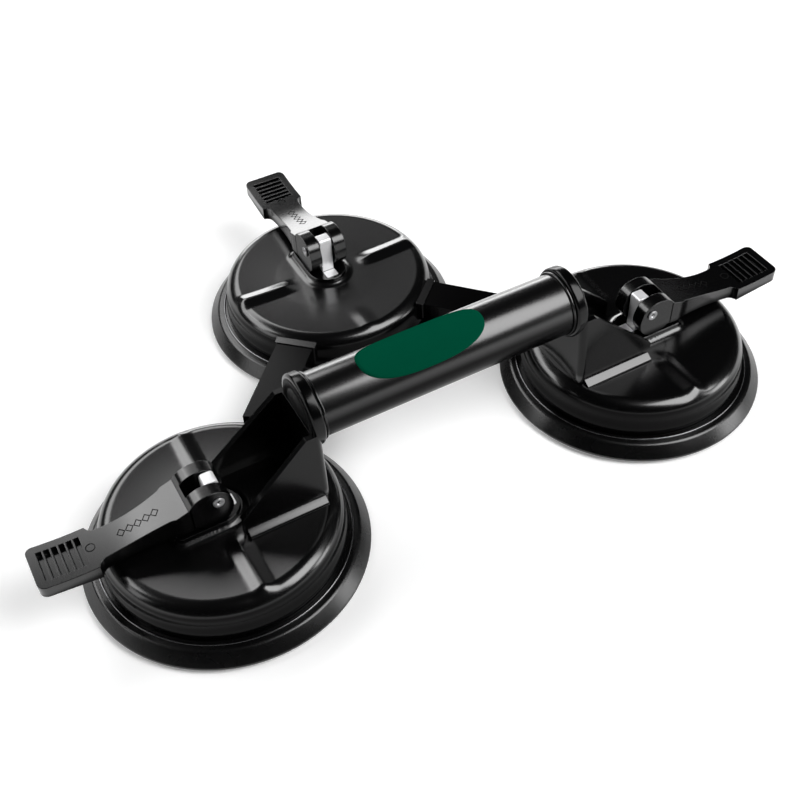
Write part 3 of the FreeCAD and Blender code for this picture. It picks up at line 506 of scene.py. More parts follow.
class Finishes:
    """All the finishes of the lifter."""

    def __init__(self) -> None:
        """Make each material once."""
        thin_span, tube_span = (0.0255, 0.028), (0.0585, 0.064)
        self.housing = Finish("gloss black casting", 0.2, 1.0).make()
        self.bracket = Finish("black bracket casting", 0.18, 0.9, thinned=thin_span).make()
        self.arms = Finish("black arm casting", 0.18, 0.9, (0.02105, 0.0216), thin_span).make()
        self.lever = Finish("gloss black lever", 0.2, 0.85, (0.0262, 0.0296), depth=0.000004).make()
        self.tube = Finish("gloss black tube", 0.24, 1.0, tube_span, depth=0.000002).make()
        self.seat = Finish("satin black seat", 0.16, 1.0).make()
        self.ring = Finish("black ring", 0.2, 0.8, tube_span).make()
        self.plug = Finish("satin black plug", 0.5, spread=0.1).make()
        # dark matte finish of the diamond outlines: painted shade of engraved lines
        self.mark = Finish("painted groove shade", 0.7, colour=(0.003, 0.003, 0.003), specular=0.05).make()
        # the housing's thin lip in grey metal instead of black paint: a painted highlight line along the
        # ledge
        self.bead = Steel("painted highlight rim", 0.22, colour=(0.16, 0.16, 0.165)).make()
        self.bright = Steel("bright steel", 0.32, colour=(0.93, 0.93, 0.94), metallic=0.35).make()
        self.pin = Steel("dull pin steel", 0.3, colour=(0.5, 0.5, 0.51), metallic=0.7).make()
        self.plate = Steel("zinc plated steel", 0.34, colour=(0.45, 0.45, 0.44)).make()
        self.spring = Steel("oiled spring steel", 0.3, colour=(0.2, 0.2, 0.21), stretch=(1, 1, 1)).make()
        self.rubber = Finish("satin rubber", 0.27, colour=(0.0008, 0.0008, 0.0009), far=(1.6, 1.6, 1.6),
                             haze=0.0, spread=0.1, specular=0.6, cloud=(60.0, 5.0), grain=(2600.0, 3.0),
                             depth=0.00002).make()
        self.label = Finish("green label film", 0.75, colour=(0.0004, 0.0545, 0.0285),
                            far=(1.3, 1.12, 1.12), haze=0.0, spread=0.1, specular=0.0, cloud=(90.0, 3.0),
                            grain=(3000.0, 2.0), depth=0.000002).make()


# ---------- rubber disc
@dataclass
class RubberDisc:
    """Moulded disc: bevelled lip, flat ledge, a rim round the steel plate and a middle that is drawn up."""

    cup: Cup
    lip: float = 59.0
    edge: float = 0.9
    bevel_top: float = 54.6
    ledge: float = 6.0
    ledge_inner: float = 44.0
    rim: float = 35.3
    rim_top: float = 12.9
    recess: float = 31.3
    seat: float = 11.5
    hollow: float = 28.0
    drawn: float = 7.0
    foot: float = 52.5
    slack: float = 0.1
    bead: float = 51.7
    bead_half: float = 0.5
    bead_low: float = 5.9
    bead_top: float = 6.65

    def build(self, finish: Finishes) -> None:
        """Shape the disc and hang it on the root body; its middle goes up and down with the plate."""
        under = self.drawn * (self.foot - self.recess) / (self.foot - self.hollow)
        ring = Draft().lathe([
            (self.recess, under), (self.foot, 0), (self.lip, 0), (self.lip, self.edge),
            (self.bevel_top, self.ledge), (self.ledge_inner, self.ledge), (self.rim, self.rim_top),
            (self.recess, self.rim_top),
        ], {2: 0.25, 3: 0.35, 4: 0.9, 5: 1.2, 6: 0.6, 7: 0.5}, closed=True)
        reach = self.recess - self.slack
        middle = Draft().lathe([(0, self.drawn), (reach, self.drawn), (reach, self.seat), (0, self.seat)])
        self.cup.build("rubber_middle", middle, finish.rubber, "rubber_black", body="draw")
        self.cup.build("rubber_disc", ring, finish.rubber, "rubber_black", "rubber_disc")
        # the lip of the black housing, in grey metal as a painted highlight line
        self.cup.build("rim_bead", self.rim_bead(), finish.bead, "housing_black")

    def rim_bead(self) -> Draft:
        """Return the thin turned lip of the housing that lies on the ledge; it is grey metal instead of
        black paint, a painted highlight line along the ledge.
        """
        near, far = self.bead - self.bead_half, self.bead + self.bead_half
        return Draft().lathe([(near, self.bead_low), (far, self.bead_low), (far, self.bead_top),
                              (near, self.bead_top)], {2: 0.42, 3: 0.42}, closed=True, steps=192)


# ---------- housings
@dataclass
class Housing:
    """Cast dome of a cup, with its boss and radial ribs; brackets and arms are added to it."""

    cup: Cup
    skirt: float = 50.2
    bottom: float = 6.1
    wall: float = 2.8
    upper: float = 49.1
    shoulder: float = 6.3
    step_top: float = 13.6
    step_foot: float = 10.2
    top: float = 22.6
    floor: float = 21.8
    dish: float = 25.0
    ceiling: float = 18.6
    boss_top: float = 23.3
    boss_half: float = 9.8
    boss_tail: float = 20.8
    boss_corner: float = 2.8
    boss_cove: float = 4.0
    nose: float = 0.4
    rib_rise: float = 1.55
    rib_half: float = 5.4
    steps: int = 288

    @property
    def flat(self) -> float:
        """Radius at which the shoulder's round starts."""
        return self.upper - self.shoulder

    @property
    def inside(self) -> float:
        """Radius of the skirt's inner face."""
        return self.skirt - self.wall

    def dome(self) -> Draft:
        """Return the turned shell with the ribs and the boss's cove raised out of its top."""
        profile = []
        for radius in [0.0] + [7.0 + 0.75 * k for k in range(48)]:
            along = min(max((radius - self.dish) / (self.flat - self.dish), 0.0), 1.0)
            share = along * 0.35 + along * along * 0.65
            profile.append((radius, self.floor + (self.top - self.floor) * share))
        for step in range(15):
            angle = math.radians(90.0 - 6.0 * step)
            profile.append((self.flat + self.shoulder * math.cos(angle),
                            self.top - self.shoulder + self.shoulder * math.sin(angle)))
        end = len(profile)
        profile += [(self.upper, self.top - self.shoulder), (self.upper, self.step_top),
                    (self.skirt, self.step_foot), (self.skirt, self.bottom), (self.inside, self.bottom),
                    (self.inside, 16.0), (self.flat - 1.4, self.ceiling), (0, self.ceiling)]
        rounds = {end + 1: 1.2, end + 2: 1.2, end + 3: 0.5, end + 4: 0.4}
        draft = Draft().lathe(profile, rounds, steps=self.steps)
        for vert in draft.bm.verts:
            x, y, z = vert.co
            if z > 20.5 or (math.hypot(x, y) > self.inside + 0.5 and z > 16.0):
                vert.co.z += self.relief(x, y)
        return draft

    def relief(self, x: float, y: float) -> float:
        """Return how far the casting's skin stands above the plain dome at a point."""
        height = self.cove(x, y)
        for turn, start, share in self.ribs():
            angle = math.radians(turn)
            out = x * math.cos(angle) + y * math.sin(angle)
            off = abs(y * math.cos(angle) - x * math.sin(angle))
            if out < start - 2.0 or off > self.rib_half:
                continue
            tent = 1.0 - off / self.rib_half
            roof = 0.7 * tent + 0.3 * ease(tent)
            crest = ease((out - start + 1.5) / 10.0) * (1.0 - ease((out - self.flat + 0.5) / 6.0))
            height = max(height, self.rib_rise * crest * roof * share)
        return height

    def cove(self, x: float, y: float) -> float:
        """Return the rise of the hollow round at the boss's foot."""
        along, across = x - self.boss_tail, abs(y) - self.boss_half
        inner_x, inner_y = along + self.boss_corner, across + self.boss_corner
        if x < self.nose:
            away = math.hypot(x - self.nose, y) - self.boss_half
        elif inner_x > 0.0 and inner_y > 0.0:
            away = math.hypot(inner_x, inner_y) - self.boss_corner
        else:
            away = max(along, across)
        full = self.boss_top - self.floor - 0.12
        reach = math.sqrt(self.boss_cove ** 2 - (self.boss_cove - full) ** 2)
        left = max(reach - max(away, 0.0), 0.0)
        return self.boss_cove - math.sqrt(self.boss_cove ** 2 - left ** 2)

    def boss(self) -> Draft:
        """Return the raised seat of the cam plate."""
        return Draft().tongue(self.nose, self.boss_tail, self.boss_half, (self.floor - 1.2, self.boss_top),
                              self.boss_corner, 28)

    @staticmethod
    def window() -> Draft:
        """Return the shape of the opening that the draw bar slides in."""
        return Draft().block((-1.8, -3.3, 10.0), (4.8, 3.3, 30.0))

    def build(self, finish: Finishes) -> None:
        """Shape the housing and hang it on the root body."""
        self.cup.build("housing", self.dome(), finish.housing, "housing_black", "cup_housing",
                       hole=self.window())
        self.cup.build("casting", self.boss(), finish.arms if self.cup is Cup.REAR else finish.bracket,
                       "housing_black", edge_round=0.45, sharp_from=28.0, hole=self.window(),
                       shells=self.castings())

    def ribs(self) -> list[tuple[float, float, float]]:
        """Return the direction, start and share of the full height of each rib."""
        return [(-90.0, 16.2, 1.0), (90.0, 16.2, 1.0), (0.0, 25.9, 1.0)]

    def castings(self) -> list[Draft]:
        """Return what is cast on the dome."""
        return []


@dataclass
class OuterHousing(Housing):
    """Housing of an outer cup, with the bracket that carries the grip tube."""

    tube_height: float = 57.7
    collar: float = 15.2
    collar_near: float = -43.5
    collar_far: float = -38.3
    bore: float = 13.35
    wall_x: float = -41.3
    plate: float = 2.7
    wall_plate: float = 3.9
    sunk: float = 0.8
    slope_from: float = -34.5
    web_end: float = -4.0
    web_end_height: float = 29.8
    web_half: float = 17.35
    bar_from: float = -38.6
    bar_to: float = -5.2

    def castings(self) -> list[Draft]:
        """Return the webs with their end wall, the collar and the bars at the webs' feet."""
        return [self._webs(), self._collar(), self._foot_bars()]

    def _webs(self) -> Draft:
        """Return the two webs and the end wall in one, leaning in and trimmed by the slope."""
        low, top = self.floor - self.sunk, self.tube_height - 0.5
        near, face, end = self.wall_x, self.wall_x + self.wall_plate, self.web_end
        out, inn = self.web_half, self.web_half - self.plate
        draft = Draft().line([
            (end, -out, low), (end, -inn, low), (face, -inn, low), (face, inn, low), (end, inn, low),
            (end, out, low), (near, out, low), (near, -out, low),
        ], {6: 3.0, 7: 3.0, 2: 0.8, 3: 0.8}, closed=True).fill()
        upper = draft.draw_out((0, 0, top - low))
        bmesh.ops.scale(draft.bm, vec=(1, self.collar / self.web_half, 1), verts=upper)
        return draft.slice((self.slope_from, 0, top),
                           (top - self.web_end_height, 0, self.web_end - self.slope_from))

    def _collar(self) -> Draft:
        """Return the round collar that holds the tube's end."""
        near, far = self.collar_near, self.collar_far
        return Draft().lathe([(self.bore, near), (self.collar, near), (self.collar, far), (self.bore, far)],
                             {0: 0.5, 1: 1.2, 2: 1.2}, True, "X", (0, 0, self.tube_height), 96)

    def _foot_bars(self) -> Draft:
        """Return the wedge along the foot of each web."""
        low, x = self.floor - self.sunk, self.bar_from
        return Draft().plate([(x, -20.7, low), (x, -20.7, 22.9), (x, -16.9, 25.1), (x, -15.6, 24.9),
                              (x, -15.4, low)], (self.bar_to - x, 0, 0), {1: 0.9, 2: 0.6}).mirrored()


@dataclass
class RearHousing(Housing):
    """Housing of the rear cup, cast in one with the two arms to the outer cups."""

    span: float = 146.95
    arm_angle: float = 136.848
    arm_from: float = 45.5
    arm_half: float = 8.4
    arm_top: float = 21.0
    arm_bottom: float = 11.0
    arm_wall: float = 2.6
    arm_gap: float = 0.3
    root_half: float = 9.4

    def ribs(self) -> list[tuple[float, float, float]]:
        """Return the direction, start and share of the full height of each rib."""
        return super().ribs() + [(180.0, 29.0, 0.3)]

    def castings(self) -> list[Draft]:
        """Return the two arms, each with the step at its root."""
        arms = []
        for sign in (-1.0, 1.0):
            turned = Matrix.Rotation(math.radians(sign * self.arm_angle), 4, "Z")
            root = Draft().block((47.6, -self.root_half, 13.0), (51.2, self.root_half, 21.5),
                                 {1: 0.8, 2: 0.8})
            arms += [self._arm().moved(turned), root.moved(turned)]
        return arms

    def _arm(self) -> Draft:
        """Return a channel open below, with its far end hollowed to the outer cup's skirt."""
        clear, half, low = self.skirt + self.arm_gap, self.arm_half, self.arm_bottom
        height = self.arm_top - low
        sweep = math.asin(half / clear)
        end = self.span - math.cos(sweep) * clear
        draft = Draft().line([(end, half, low), (self.arm_from, half, low), (self.arm_from, -half, low),
                              (end, -half, low)])
        draft.arc((end, -half, low), (self.span, 0, low), (0, 0, -1), 2 * math.degrees(sweep), 10).fill()
        draft.draw_out((0, 0, height))
        bmesh.ops.inset_region(draft.bm, faces=[f for f in draft.bm.faces if f.normal.z < -0.9],
                               thickness=self.arm_wall, use_even_offset=True)
        under = [f for f in draft.bm.faces if f.normal.z < -0.9]
        middle = min(under, key=lambda f: abs(f.calc_center_median().y) + 1.0 / f.calc_area())
        bmesh.ops.translate(draft.bm, verts=list(middle.verts), vec=(0, 0, height - self.arm_wall))
        return draft.face_out()


# ---------- cam lever
@dataclass
class CamLever:
    """Cast lever: two cam-footed ears, a waisted arm and a slotted thumb grip.

    Attributes:
        root: where the arm starts between the ears.
        rise_from: where the back starts to rise to the ears.
        neck: where the ears end; from there the sides go in to the waist.
        waist: where the arm proper starts.
        notch: where the notch before the grip starts.
        shoulder: where the grip starts.
        sweep: radius of the back's hollow, lowest at sweep_at.
        belly: height of the underside at the neck, the shoulder and the tip.
    """

    cup: Cup
    cam: tuple[float, float] = (4.709, 33.85)
    cam_radius: float = 9.0
    ear_half: float = 9.2
    ear_front: float = -3.0
    ear_back: float = 10.0
    ear_top: float = 43.25
    fork_half: float = 3.5
    root: float = 12.2
    rise_from: float = 13.4
    neck: float = 18.6
    waist: float = 20.2
    notch: float = 46.4
    shoulder: float = 50.0
    reach: float = 73.0
    tip_round: float = 3.0
    grip_half: float = 10.5
    sweep: float = 125.0
    sweep_at: float = 45.8
    back_low: float = 31.544
    back_fall: float = -3.3 / 54.4
    back_lift: float = 1.2
    belly: tuple[float, float, float] = (26.9, 24.9, 27.4)
    slots: int = 6
    slot_pitch: float = 2.85
    slot_last: float = 68.4
    slot_width: float = 2.0
    slot_half: float = 7.0
    slot_depth: float = 2.4
    diamond_count: int = 5
    diamond_first: float = 24.4
    diamond_pitch: float = 3.5
    diamond: tuple[float, float] = (1.75, 2.0)
    diamond_line: float = 0.32
    thumb_at: float = 50.6

    def top(self, x: float) -> float:
        """Return the height of the lever's back: a ramp, then a hollow sweep."""
        if x < self.rise_from:
            foot = self.top(self.rise_from)
            return foot + (self.ear_top - foot) * (self.rise_from - x) / (self.rise_from - self.ear_back)
        away = x - self.sweep_at
        hollow = self.sweep - math.sqrt(self.sweep ** 2 - away ** 2)
        lift = self.back_lift * (1.0 - ease((x - 15.0) / 30.0))
        return self.back_low + self.back_fall * away + hollow + lift

    def underside(self, x: float) -> float:
        """Return the height of the lever's underside."""
        if x < self.shoulder:
            along = (x - self.neck) / (self.shoulder - self.neck)
            return self.belly[0] + (self.belly[1] - self.belly[0]) * along
        along = (x - self.shoulder) / (self.reach - self.shoulder)
        return self.belly[1] + (self.belly[2] - self.belly[1]) * along

    def half_width(self, x: float) -> float:
        """Return half the lever's width: ears, waist, notch, grip and its round corners."""
        if x <= self.neck:
            return self.ear_half
        if x <= self.waist:
            return self.ear_half - 0.9 * (x - self.neck) / (self.waist - self.neck)
        if x <= self.notch:
            along = (x - self.waist) / (self.notch - self.waist)
            return 8.3 - 0.9 * along - 3.4 * along * (1.0 - along)
        if x < self.shoulder:
            return 11.0 - math.sqrt(max(3.6 ** 2 - (x - self.notch) ** 2, 0.0))
        past = max(x - self.reach + self.tip_round, 0.0)
        return self.grip_half - self.tip_round + math.sqrt(max(self.tip_round ** 2 - past ** 2, 0.0))

    @property
    def slot_places(self) -> list[float]:
        """Middle of each cross slot along the lever."""
        return [self.slot_last - k * self.slot_pitch for k in range(self.slots)]

    def stations(self) -> list[float]:
        """Return where along the arm its section is set."""
        marks = [self.root, self.rise_from, 16.0, self.neck, self.waist, *range(23, 42, 3), 43.7, self.notch,
                 47.9, 49.0, 49.7, self.shoulder, 51.5, 70.0, 70.9, 71.8, 72.4, 72.8, self.reach]
        for middle in self.slot_places:
            marks += [middle - self.slot_width / 2, middle + self.slot_width / 2]
        return sorted(marks)

    def arm(self) -> Draft:
        """Return the arm and grip, from the fork's root to the tip, with the cross slots sunk."""
        draft = Draft()
        point, face = draft.bm.verts.new, draft.bm.faces.new
        rows = [([point((x, y, self.underside(x))) for y in self._columns(x)],
                 [point((x, y, self.top(x))) for y in self._columns(x)]) for x in self.stations()]
        for (low, high), (next_low, next_high) in zip(rows, rows[1:]):
            for k in range(3):
                face((high[k], high[k + 1], next_high[k + 1], next_high[k]))
                face((low[k], low[k + 1], next_low[k + 1], next_low[k]))
            for k in (0, 3):
                face((low[k], high[k], next_high[k], next_low[k]))
        for low, high in (rows[0], rows[-1]):
            for k in range(3):
                face((low[k], low[k + 1], high[k + 1], high[k]))
        draft.face_out()
        sunk = [f for f in draft.bm.faces if self._in_slot(f)]
        cells = bmesh.ops.extrude_discrete_faces(draft.bm, faces=sunk)
        verts = list({v for f in cells["faces"] for v in f.verts})
        bmesh.ops.translate(draft.bm, verts=verts, vec=(0, 0, -self.slot_depth))
        return draft.face_out()

    def _columns(self, x: float) -> list[float]:
        """Return the four places across the lever at a station."""
        half = self.half_width(x)
        inner = self.slot_half
        if x <= self.notch:
            inner = min(self.fork_half + max(x - self.waist, 0.0) / 8.0, inner)
        inner = min(inner, half - 0.3)
        return [-half, -inner, inner, half]

    def _in_slot(self, face: bmesh.types.BMFace) -> bool:
        """Tell whether a face of the back is the mouth of a cross slot."""
        middle = face.calc_center_median()
        near = any(abs(middle.x - place) < 0.1 for place in self.slot_places)
        return near and face.normal.z > 0.9 and abs(middle.y) < 1.0

    def ear(self) -> Draft:
        """Return one ear: a flat cheek whose foot is the round cam."""
        y, (cx, cz) = self.fork_half, self.cam
        start, end = ((cx + self.cam_radius * math.cos(turn), y, cz + self.cam_radius * math.sin(turn))
                      for turn in (math.radians(155.0), math.radians(-45.0)))
        root = self.root + 1.0
        draft = Draft().line([
            end, (root, y, self.underside(root) + 0.4), (root, y, self.top(root) - 0.4),
            (self.root, y, self.top(self.root)), (self.ear_back, y, self.ear_top),
            (self.ear_front, y, self.ear_top), start,
        ], {4: 4.6, 5: 7.4})
        draft.arc(start, (cx, y, cz), (0, -1, 0), 160.0, 30).fill().draw_out((0, self.ear_half - y, 0))
        return draft

    def diamonds(self) -> Draft:
        """Return the chain of small diamond outlines along the arm's back: thin dark matte ribbons on the
        surface, painted shade of the engraved lines.
        """
        whole = Draft()
        long, wide = self.diamond
        share = 1.0 - self.diamond_line * math.hypot(1.0 / long, 1.0 / wide)
        for index in range(self.diamond_count):
            middle = self.diamond_first + index * self.diamond_pitch
            rings = []
            for size, lift in ((1.0, -0.15), (1.0, 0.08), (share, 0.08), (share, -0.15)):
                ring = []
                for along, across in ((long, 0.0), (0.0, wide), (-long, 0.0), (0.0, -wide)):
                    x = middle + along * size
                    ring.append(whole.bm.verts.new((x, across * size, self.top(x) + lift)))
                rings.append(ring)
            for first, second in zip(rings, rings[1:] + rings[:1]):
                for k in range(4):
                    after = (k + 1) % 4
                    whole.bm.faces.new((first[k], first[after], second[after], second[k]))
        return whole.face_out()

    def thumb_mark(self) -> Draft:
        """Return the small round mark in front of the slots, a thin ring in the same dark matte finish as
        the diamonds.
        """
        z = self.top(self.thumb_at)
        return Draft().lathe([(1.6, z - 0.05), (1.6, z + 0.1), (1.9, z + 0.1), (1.9, z - 0.05)], closed=True,
                             centre=(self.thumb_at, 0, 0), steps=40)

    def build(self, finish: Finishes) -> None:
        """Shape the lever and hang it on its own body."""
        whole = self.arm().add(self.ear().mirrored())
        self.cup.build("lever", whole, finish.lever, "lever_black", "cam_lever", "lever", edge_round=0.26,
                       sharp_from=30.0)
        # the diamonds are dark matte ribbons as painted shade of engraved lines; the thumb mark has the same
        # finish
        self.cup.build("diamonds", self.diamonds(), finish.mark, "lever_black", body="lever")
        self.cup.build("thumb_mark", self.thumb_mark(), finish.mark, "lever_black", body="lever")


# ---------- draw gear
@dataclass
class DrawGear:
    """Draw bar with its pivot pin, the cam seat and the bright strip at the bar's foot."""

    cup: Cup
    pivot: tuple[float, float] = (1.5, 37.352)
    seat_low: float = 23.3
    seat_top: float = 24.5
    seat_half: float = 9.0
    seat_tail: float = 20.0
    seat_corner: float = 2.0
    nose: float = 0.4
    side: float = 6.0
    head: float = 5.0
    plate_low: float = 11.55
    plate_top: float = 13.55
    stem: float = 4.0
    flange_reach: float = 8.0
    flange_top: float = 15.95

    def bar(self) -> Draft:
        """Return the square bar with a rounded head, and the flange and stem below it."""
        x, z = self.pivot
        half, low, top = self.side / 2, self.flange_top - 0.2, z + self.head
        bar = Draft().plate([(x - half, -half, low), (x + half, -half, low), (x + half, -half, top),
                             (x - half, -half, top)], (0, self.side, 0), {2: 1.6, 3: 1.6})
        return bar.add(Draft().lathe([
            (0, self.plate_low), (self.stem, self.plate_low), (self.stem, self.plate_top),
            (self.flange_reach, self.plate_top), (self.flange_reach, self.flange_top), (0, self.flange_top),
        ], centre=(x, 0, 0), steps=64))

    def pin(self) -> Draft:
        """Return the pin with a dimpled head at each end."""
        x, z = self.pivot
        head = [(0, 8.35), (1.1, 9.85), (2.35, 9.85), (2.35, 9.25), (2.0, 9.25)]
        other = [(reach, -along) for reach, along in reversed(head)]
        return Draft().lathe(head + other, {1: 0.2, 2: 0.25, 7: 0.25, 8: 0.2}, axis="Y", centre=(x, 0, z),
                             steps=48)

    def seat(self) -> Draft:
        """Return the wear plate under the cams."""
        height = (self.seat_low, self.seat_top)
        return Draft().tongue(self.nose, self.seat_tail, self.seat_half, height, self.seat_corner, 32)

    def strip(self) -> Draft:
        """Return the bright strip let into the seat's nose."""
        return Draft().block((-6.8, -3.0, self.seat_top - 0.9), (-1.8, 3.0, self.seat_top + 0.05),
                             {0: 0.8, 3: 0.8})

    def build(self, finish: Finishes) -> None:
        """Shape the four pieces and hang each on its body."""
        build = self.cup.build
        build("draw_bar", self.bar(), finish.bright, "bright_steel", "draw_bar", "draw", edge_round=0.3)
        build("pivot_pin", self.pin(), finish.pin, "bright_steel", "pivot_pin", "draw")
        build("cam_seat", self.seat(), finish.seat, "seat_black", "cam_seat", edge_round=0.25)
        build("slide_strip", self.strip(), finish.bright, "bright_steel", "slide_strip", edge_round=0.15)


# ---------- grip
@dataclass
class Grip:
    """Grip tube with its end rings, plugs and the oval label."""

    place: Place = Place(0.0, -60.6)
    height: float = 57.7
    radius: float = 13.25
    bore: float = 11.45
    end: float = 61.2
    ring_from: float = 55.7
    ring_to: float = 56.9
    ring: float = 14.1
    label_middle: float = -9.1
    label_long: float = 27.6
    label_wide: float = 11.8
    label_lift: float = 0.16
    label_thickness: float = 0.09
    label_tilt: float = 7.5
    label_power: float = 2.47

    def _turned(self, profile: Sequence[tuple[float, float]], rounds: Rounds, closed: bool,
                steps: int) -> Draft:
        """Return a profile turned about the tube's axis."""
        return Draft().lathe(profile, rounds, closed, "X", (0, 0, self.height), steps)

    def tube(self) -> Draft:
        """Return the tube."""
        return self._turned([(self.bore, -self.end), (self.radius, -self.end), (self.radius, self.end),
                             (self.bore, self.end)], {0: 0.2, 1: 0.3, 2: 0.3, 3: 0.2}, True, 128)

    def end_ring(self, sign: int) -> Draft:
        """Return the thin ring against a collar."""
        near, far, bore = sign * self.ring_from, sign * self.ring_to, self.radius + 0.05
        return self._turned([(bore, near), (self.ring, near), (self.ring, far), (bore, far)],
                            {1: 0.5, 2: 0.5}, True, 128)

    def plug(self, sign: int) -> Draft:
        """Return the plug in an end of the tube."""
        face, groove, back, tip = 62.5, 62.0, 61.3, 52.2
        spigot = self.bore - 0.05
        profile = [(0, face), (9.0, face), (9.6, groove), (10.2, face), (self.radius, face),
                   (self.radius, back), (spigot, back), (spigot, tip), (spigot - 1.8, tip),
                   (spigot - 1.8, back), (0, back)]
        return self._turned([(reach, sign * along) for reach, along in profile], {4: 0.4}, False, 96)

    def label(self) -> Draft:
        """Return the oval label, laid round the tube."""
        draft = Draft().lathe([(share, 0) for share in (0, 0.25, 0.5, 0.75, 0.93, 1)], steps=160)
        radius = self.radius + self.label_lift
        for vert in draft.bm.verts:
            reach = math.hypot(vert.co.x, vert.co.y)
            if reach > 0.0:
                cosine, sine = abs(vert.co.x) / reach, abs(vert.co.y) / reach
                fuller = cosine ** self.label_power + sine ** self.label_power
                vert.co *= fuller ** (-1.0 / self.label_power)
            angle = vert.co.y * self.label_wide / radius
            vert.co = (vert.co.x * self.label_long, radius * math.sin(angle), radius * math.cos(angle))
        tilt = Matrix.Rotation(math.radians(self.label_tilt), 4, "X")
        draft.moved(Matrix.Translation((self.label_middle, 0, self.height)) @ tilt)
        bmesh.ops.reverse_faces(draft.bm, faces=[f for f in draft.bm.faces if f.normal.z < 0])
        return draft

    def _build(self, name: str, draft: Draft, material: bpy.types.Material, slot: str,
               node: str) -> bpy.types.Object:
        """Build a piece that rides on the root body."""
        return Piece(name, draft, self.place, "root", material, slot, (node,)).build()

    def build(self, finish: Finishes) -> None:
        """Shape the pieces and hang them on the root body."""
        self._build("grip_tube_shell", self.tube(), finish.tube, "tube_black", "grip_tube")
        for side, sign in (("left", -1), ("right", 1)):
            self._build("tube_ring_" + side, self.end_ring(sign), finish.ring, "ring_black",
                        side + "_tube_ring")
            self._build("tube_plug_" + side, self.plug(sign), finish.plug, "plug_black",
                        side + "_tube_plug")
        label = self._build("grip_label_film", self.label(), finish.label, "label_green", "grip_label")
        sheet = label.modifiers.new("film", "SOLIDIFY")
        sheet.thickness = self.label_thickness * MM
        sheet.offset = -1.0


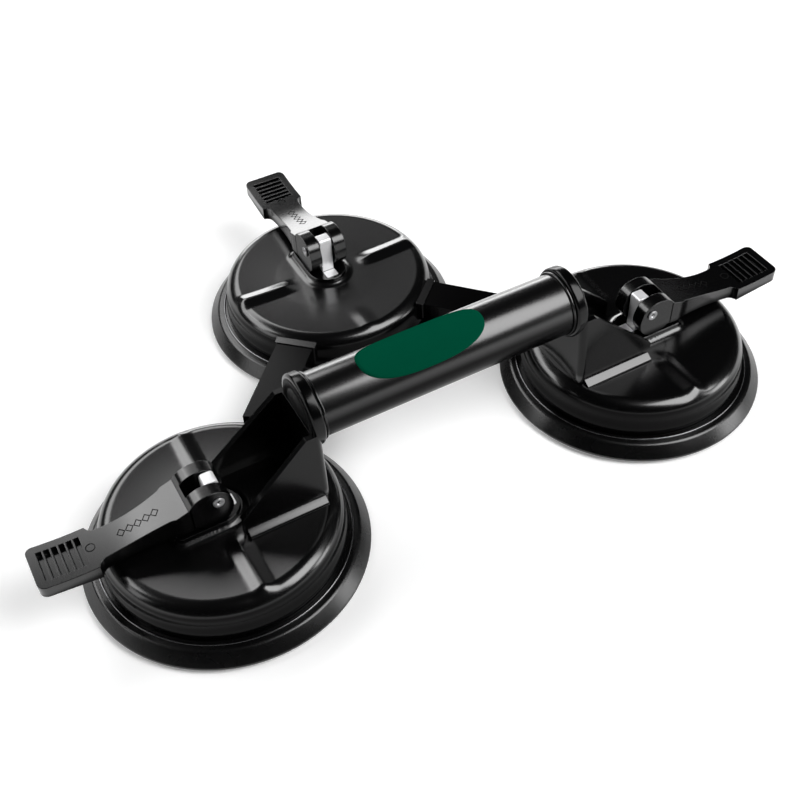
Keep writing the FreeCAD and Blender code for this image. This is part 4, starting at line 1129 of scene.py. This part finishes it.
# ---------- studio
@dataclass
class Studio:
    """Pale floor, soft lamps and the camera.

    Attributes:
        roll: the camera's turn about its own axis in degrees.
        aim: the point that the camera and the lamps face.
        air: strength of the dim surround.
        rim: reach and height of the floor's upturned rim.
        floor_lift: brightness that the floor adds near the object, where it has to keep the shadow.
        floor_fade: distances in metres between which that rises to full white.
        lamps: name, angle from straight up, bearing from +X, size and how bright the face is.
    """

    azimuth: float = -26.8
    elevation: float = 46.69
    roll: float = -2.78
    aim: tuple[float, float, float] = (-1.29, -26.83, 0.0)
    distance: float = 506.4
    lens: float = 50.08
    sensor: float = 36.0
    air: float = 0.012
    floor_low: float = -2.0
    floor_reach: float = 5700.0
    rim: tuple[float, float] = (6000.0, 560.0)
    rim_round: float = 150.0
    floor_lift: float = 0.2
    floor_fade: tuple[float, float] = (0.5, 1.4)
    lamp_distance: float = 1000.0
    lamps: tuple = (
        ("top box", 41.0, -48.0, (560.0, 700.0), 7.2),
        ("back box", 49.0, 101.0, (680.0, 360.0), 4.3),
        ("back left box", 50.0, 145.0, (540.0, 400.0), 4.3),
        ("back fill", 51.0, 68.0, (240.0, 200.0), 0.3),
        ("back strip", 80.0, 70.0, (760.0, 230.0), 5.0),
        ("right front box", 77.0, -35.0, (330.0, 300.0), 6.0),
        ("left box", 68.0, 170.0, (400.0, 360.0), 1.9),
    )

    def camera(self) -> None:
        """Place the camera."""
        az, el, roll = (math.radians(v) for v in (self.azimuth, self.elevation, self.roll))
        back = Vector((math.sin(az) * math.cos(el), -math.cos(az) * math.cos(el), math.sin(el)))
        flat = Vector((math.cos(az), math.sin(az), 0.0))
        rise = back.cross(flat)
        right = flat * math.cos(roll) + rise * math.sin(roll)
        up = rise * math.cos(roll) - flat * math.sin(roll)
        data = bpy.data.cameras.new("camera")
        data.lens = self.lens
        data.sensor_width = self.sensor
        data.clip_start = 0.01
        centre = (Vector(self.aim) + back * self.distance) * MM
        turned = Matrix((right, up, back)).transposed().to_4x4()
        bpy.context.scene.camera = put("camera", data, Matrix.Translation(centre) @ turned)

    def lamp(self, name: str, fall: float, bearing: float, size: tuple[float, float],
             radiance: float) -> None:
        """Hang one soft lamp that faces the object.

        Args:
            name: the lamp's name.
            fall: its angle from straight up, in degrees.
            bearing: its direction about Z from +X, in degrees.
            size: its width and height in millimetres.
            radiance: how bright its face is.
        """
        data = bpy.data.lights.new(name, "AREA")
        data.shape = "RECTANGLE"
        data.size, data.size_y = size[0] * MM, size[1] * MM
        data.energy = radiance * math.pi * data.size * data.size_y
        down, spin = math.radians(fall), math.radians(bearing)
        way = Vector((math.sin(down) * math.cos(spin), math.sin(down) * math.sin(spin), math.cos(down)))
        put(name, data, Matrix.Translation((Vector(self.aim) + way * self.lamp_distance) * MM)
            @ way.to_track_quat("Z", "Y").to_matrix().to_4x4())

    def floor(self) -> None:
        """Lay the floor with its low upturned rim; it shows white but keeps the object's shadow."""
        draft = Draft().lathe([(0, self.floor_low), (self.floor_reach, self.floor_low), self.rim],
                              {1: self.rim_round}, steps=64)
        mesh = draft.moved(Matrix.Scale(MM, 4)).mesh("floor")
        shop = Workshop("pale floor")
        seen = shop.node("ShaderNodeLightPath", {}, {}, "Is Camera Ray")
        for ray in ("Is Glossy Ray", "Is Transmission Ray"):
            seen = shop.node("ShaderNodeMath", {"operation": "MAXIMUM"},
                             {0: seen, 1: shop.node("ShaderNodeLightPath", {}, {}, ray)})
        away = shop.node("ShaderNodeVectorMath", {"operation": "LENGTH"}, {0: shop.place()}, "Value")
        pale = shop.blend(shop.noise(3.0, 2.0), (0.94, 0.94, 0.94), (0.95, 0.95, 0.95))
        shop.feed(Base_Color=pale, Roughness=0.9, Emission_Color=(1.0, 1.0, 1.0, 1.0),
                  Emission_Strength=seen * shop.ramp(away, self.floor_fade, self.floor_lift))
        mesh.materials.append(shop.material)
        put("floor", mesh)

    def world(self) -> None:
        """Set a dim surround, which the floor's rim hides from the camera."""
        world = bpy.data.worlds.new("studio")
        world.use_nodes = True
        bpy.context.scene.world = world
        air = world.node_tree.nodes["Background"]
        air.inputs["Color"].default_value = (0.95, 0.98, 1.0, 1.0)
        air.inputs["Strength"].default_value = self.air

    def build(self) -> None:
        """Set up the whole studio."""
        bpy.context.scene.view_settings.view_transform = "Standard"
        self.floor()
        self.world()
        for lamp in self.lamps:
            self.lamp(*lamp)
        self.camera()


def dress_shown_solids(finish: Finishes) -> None:
    """Give the solids that stay shown their finishes."""
    kinds = {"backing_plate": finish.plate, "return_spring": finish.spring, "link_screws": finish.spring}
    for name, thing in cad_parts.items():
        for ending, material in kinds.items():
            if name.endswith(ending):
                for slot in thing.material_slots:
                    slot.material = material


def main() -> None:
    """Build the lifter and its studio."""
    logging.basicConfig(level=logging.INFO, format="%(name)s: %(message)s")
    finish = Finishes()
    dress_shown_solids(finish)
    for cup in Cup:
        RubberDisc(cup).build(finish)
        housing = RearHousing(cup) if cup is Cup.REAR else OuterHousing(cup)
        housing.build(finish)
        DrawGear(cup).build(finish)
        CamLever(cup).build(finish)
    Grip().build(finish)
    Studio().build()


if __name__ == "__main__":
    main()
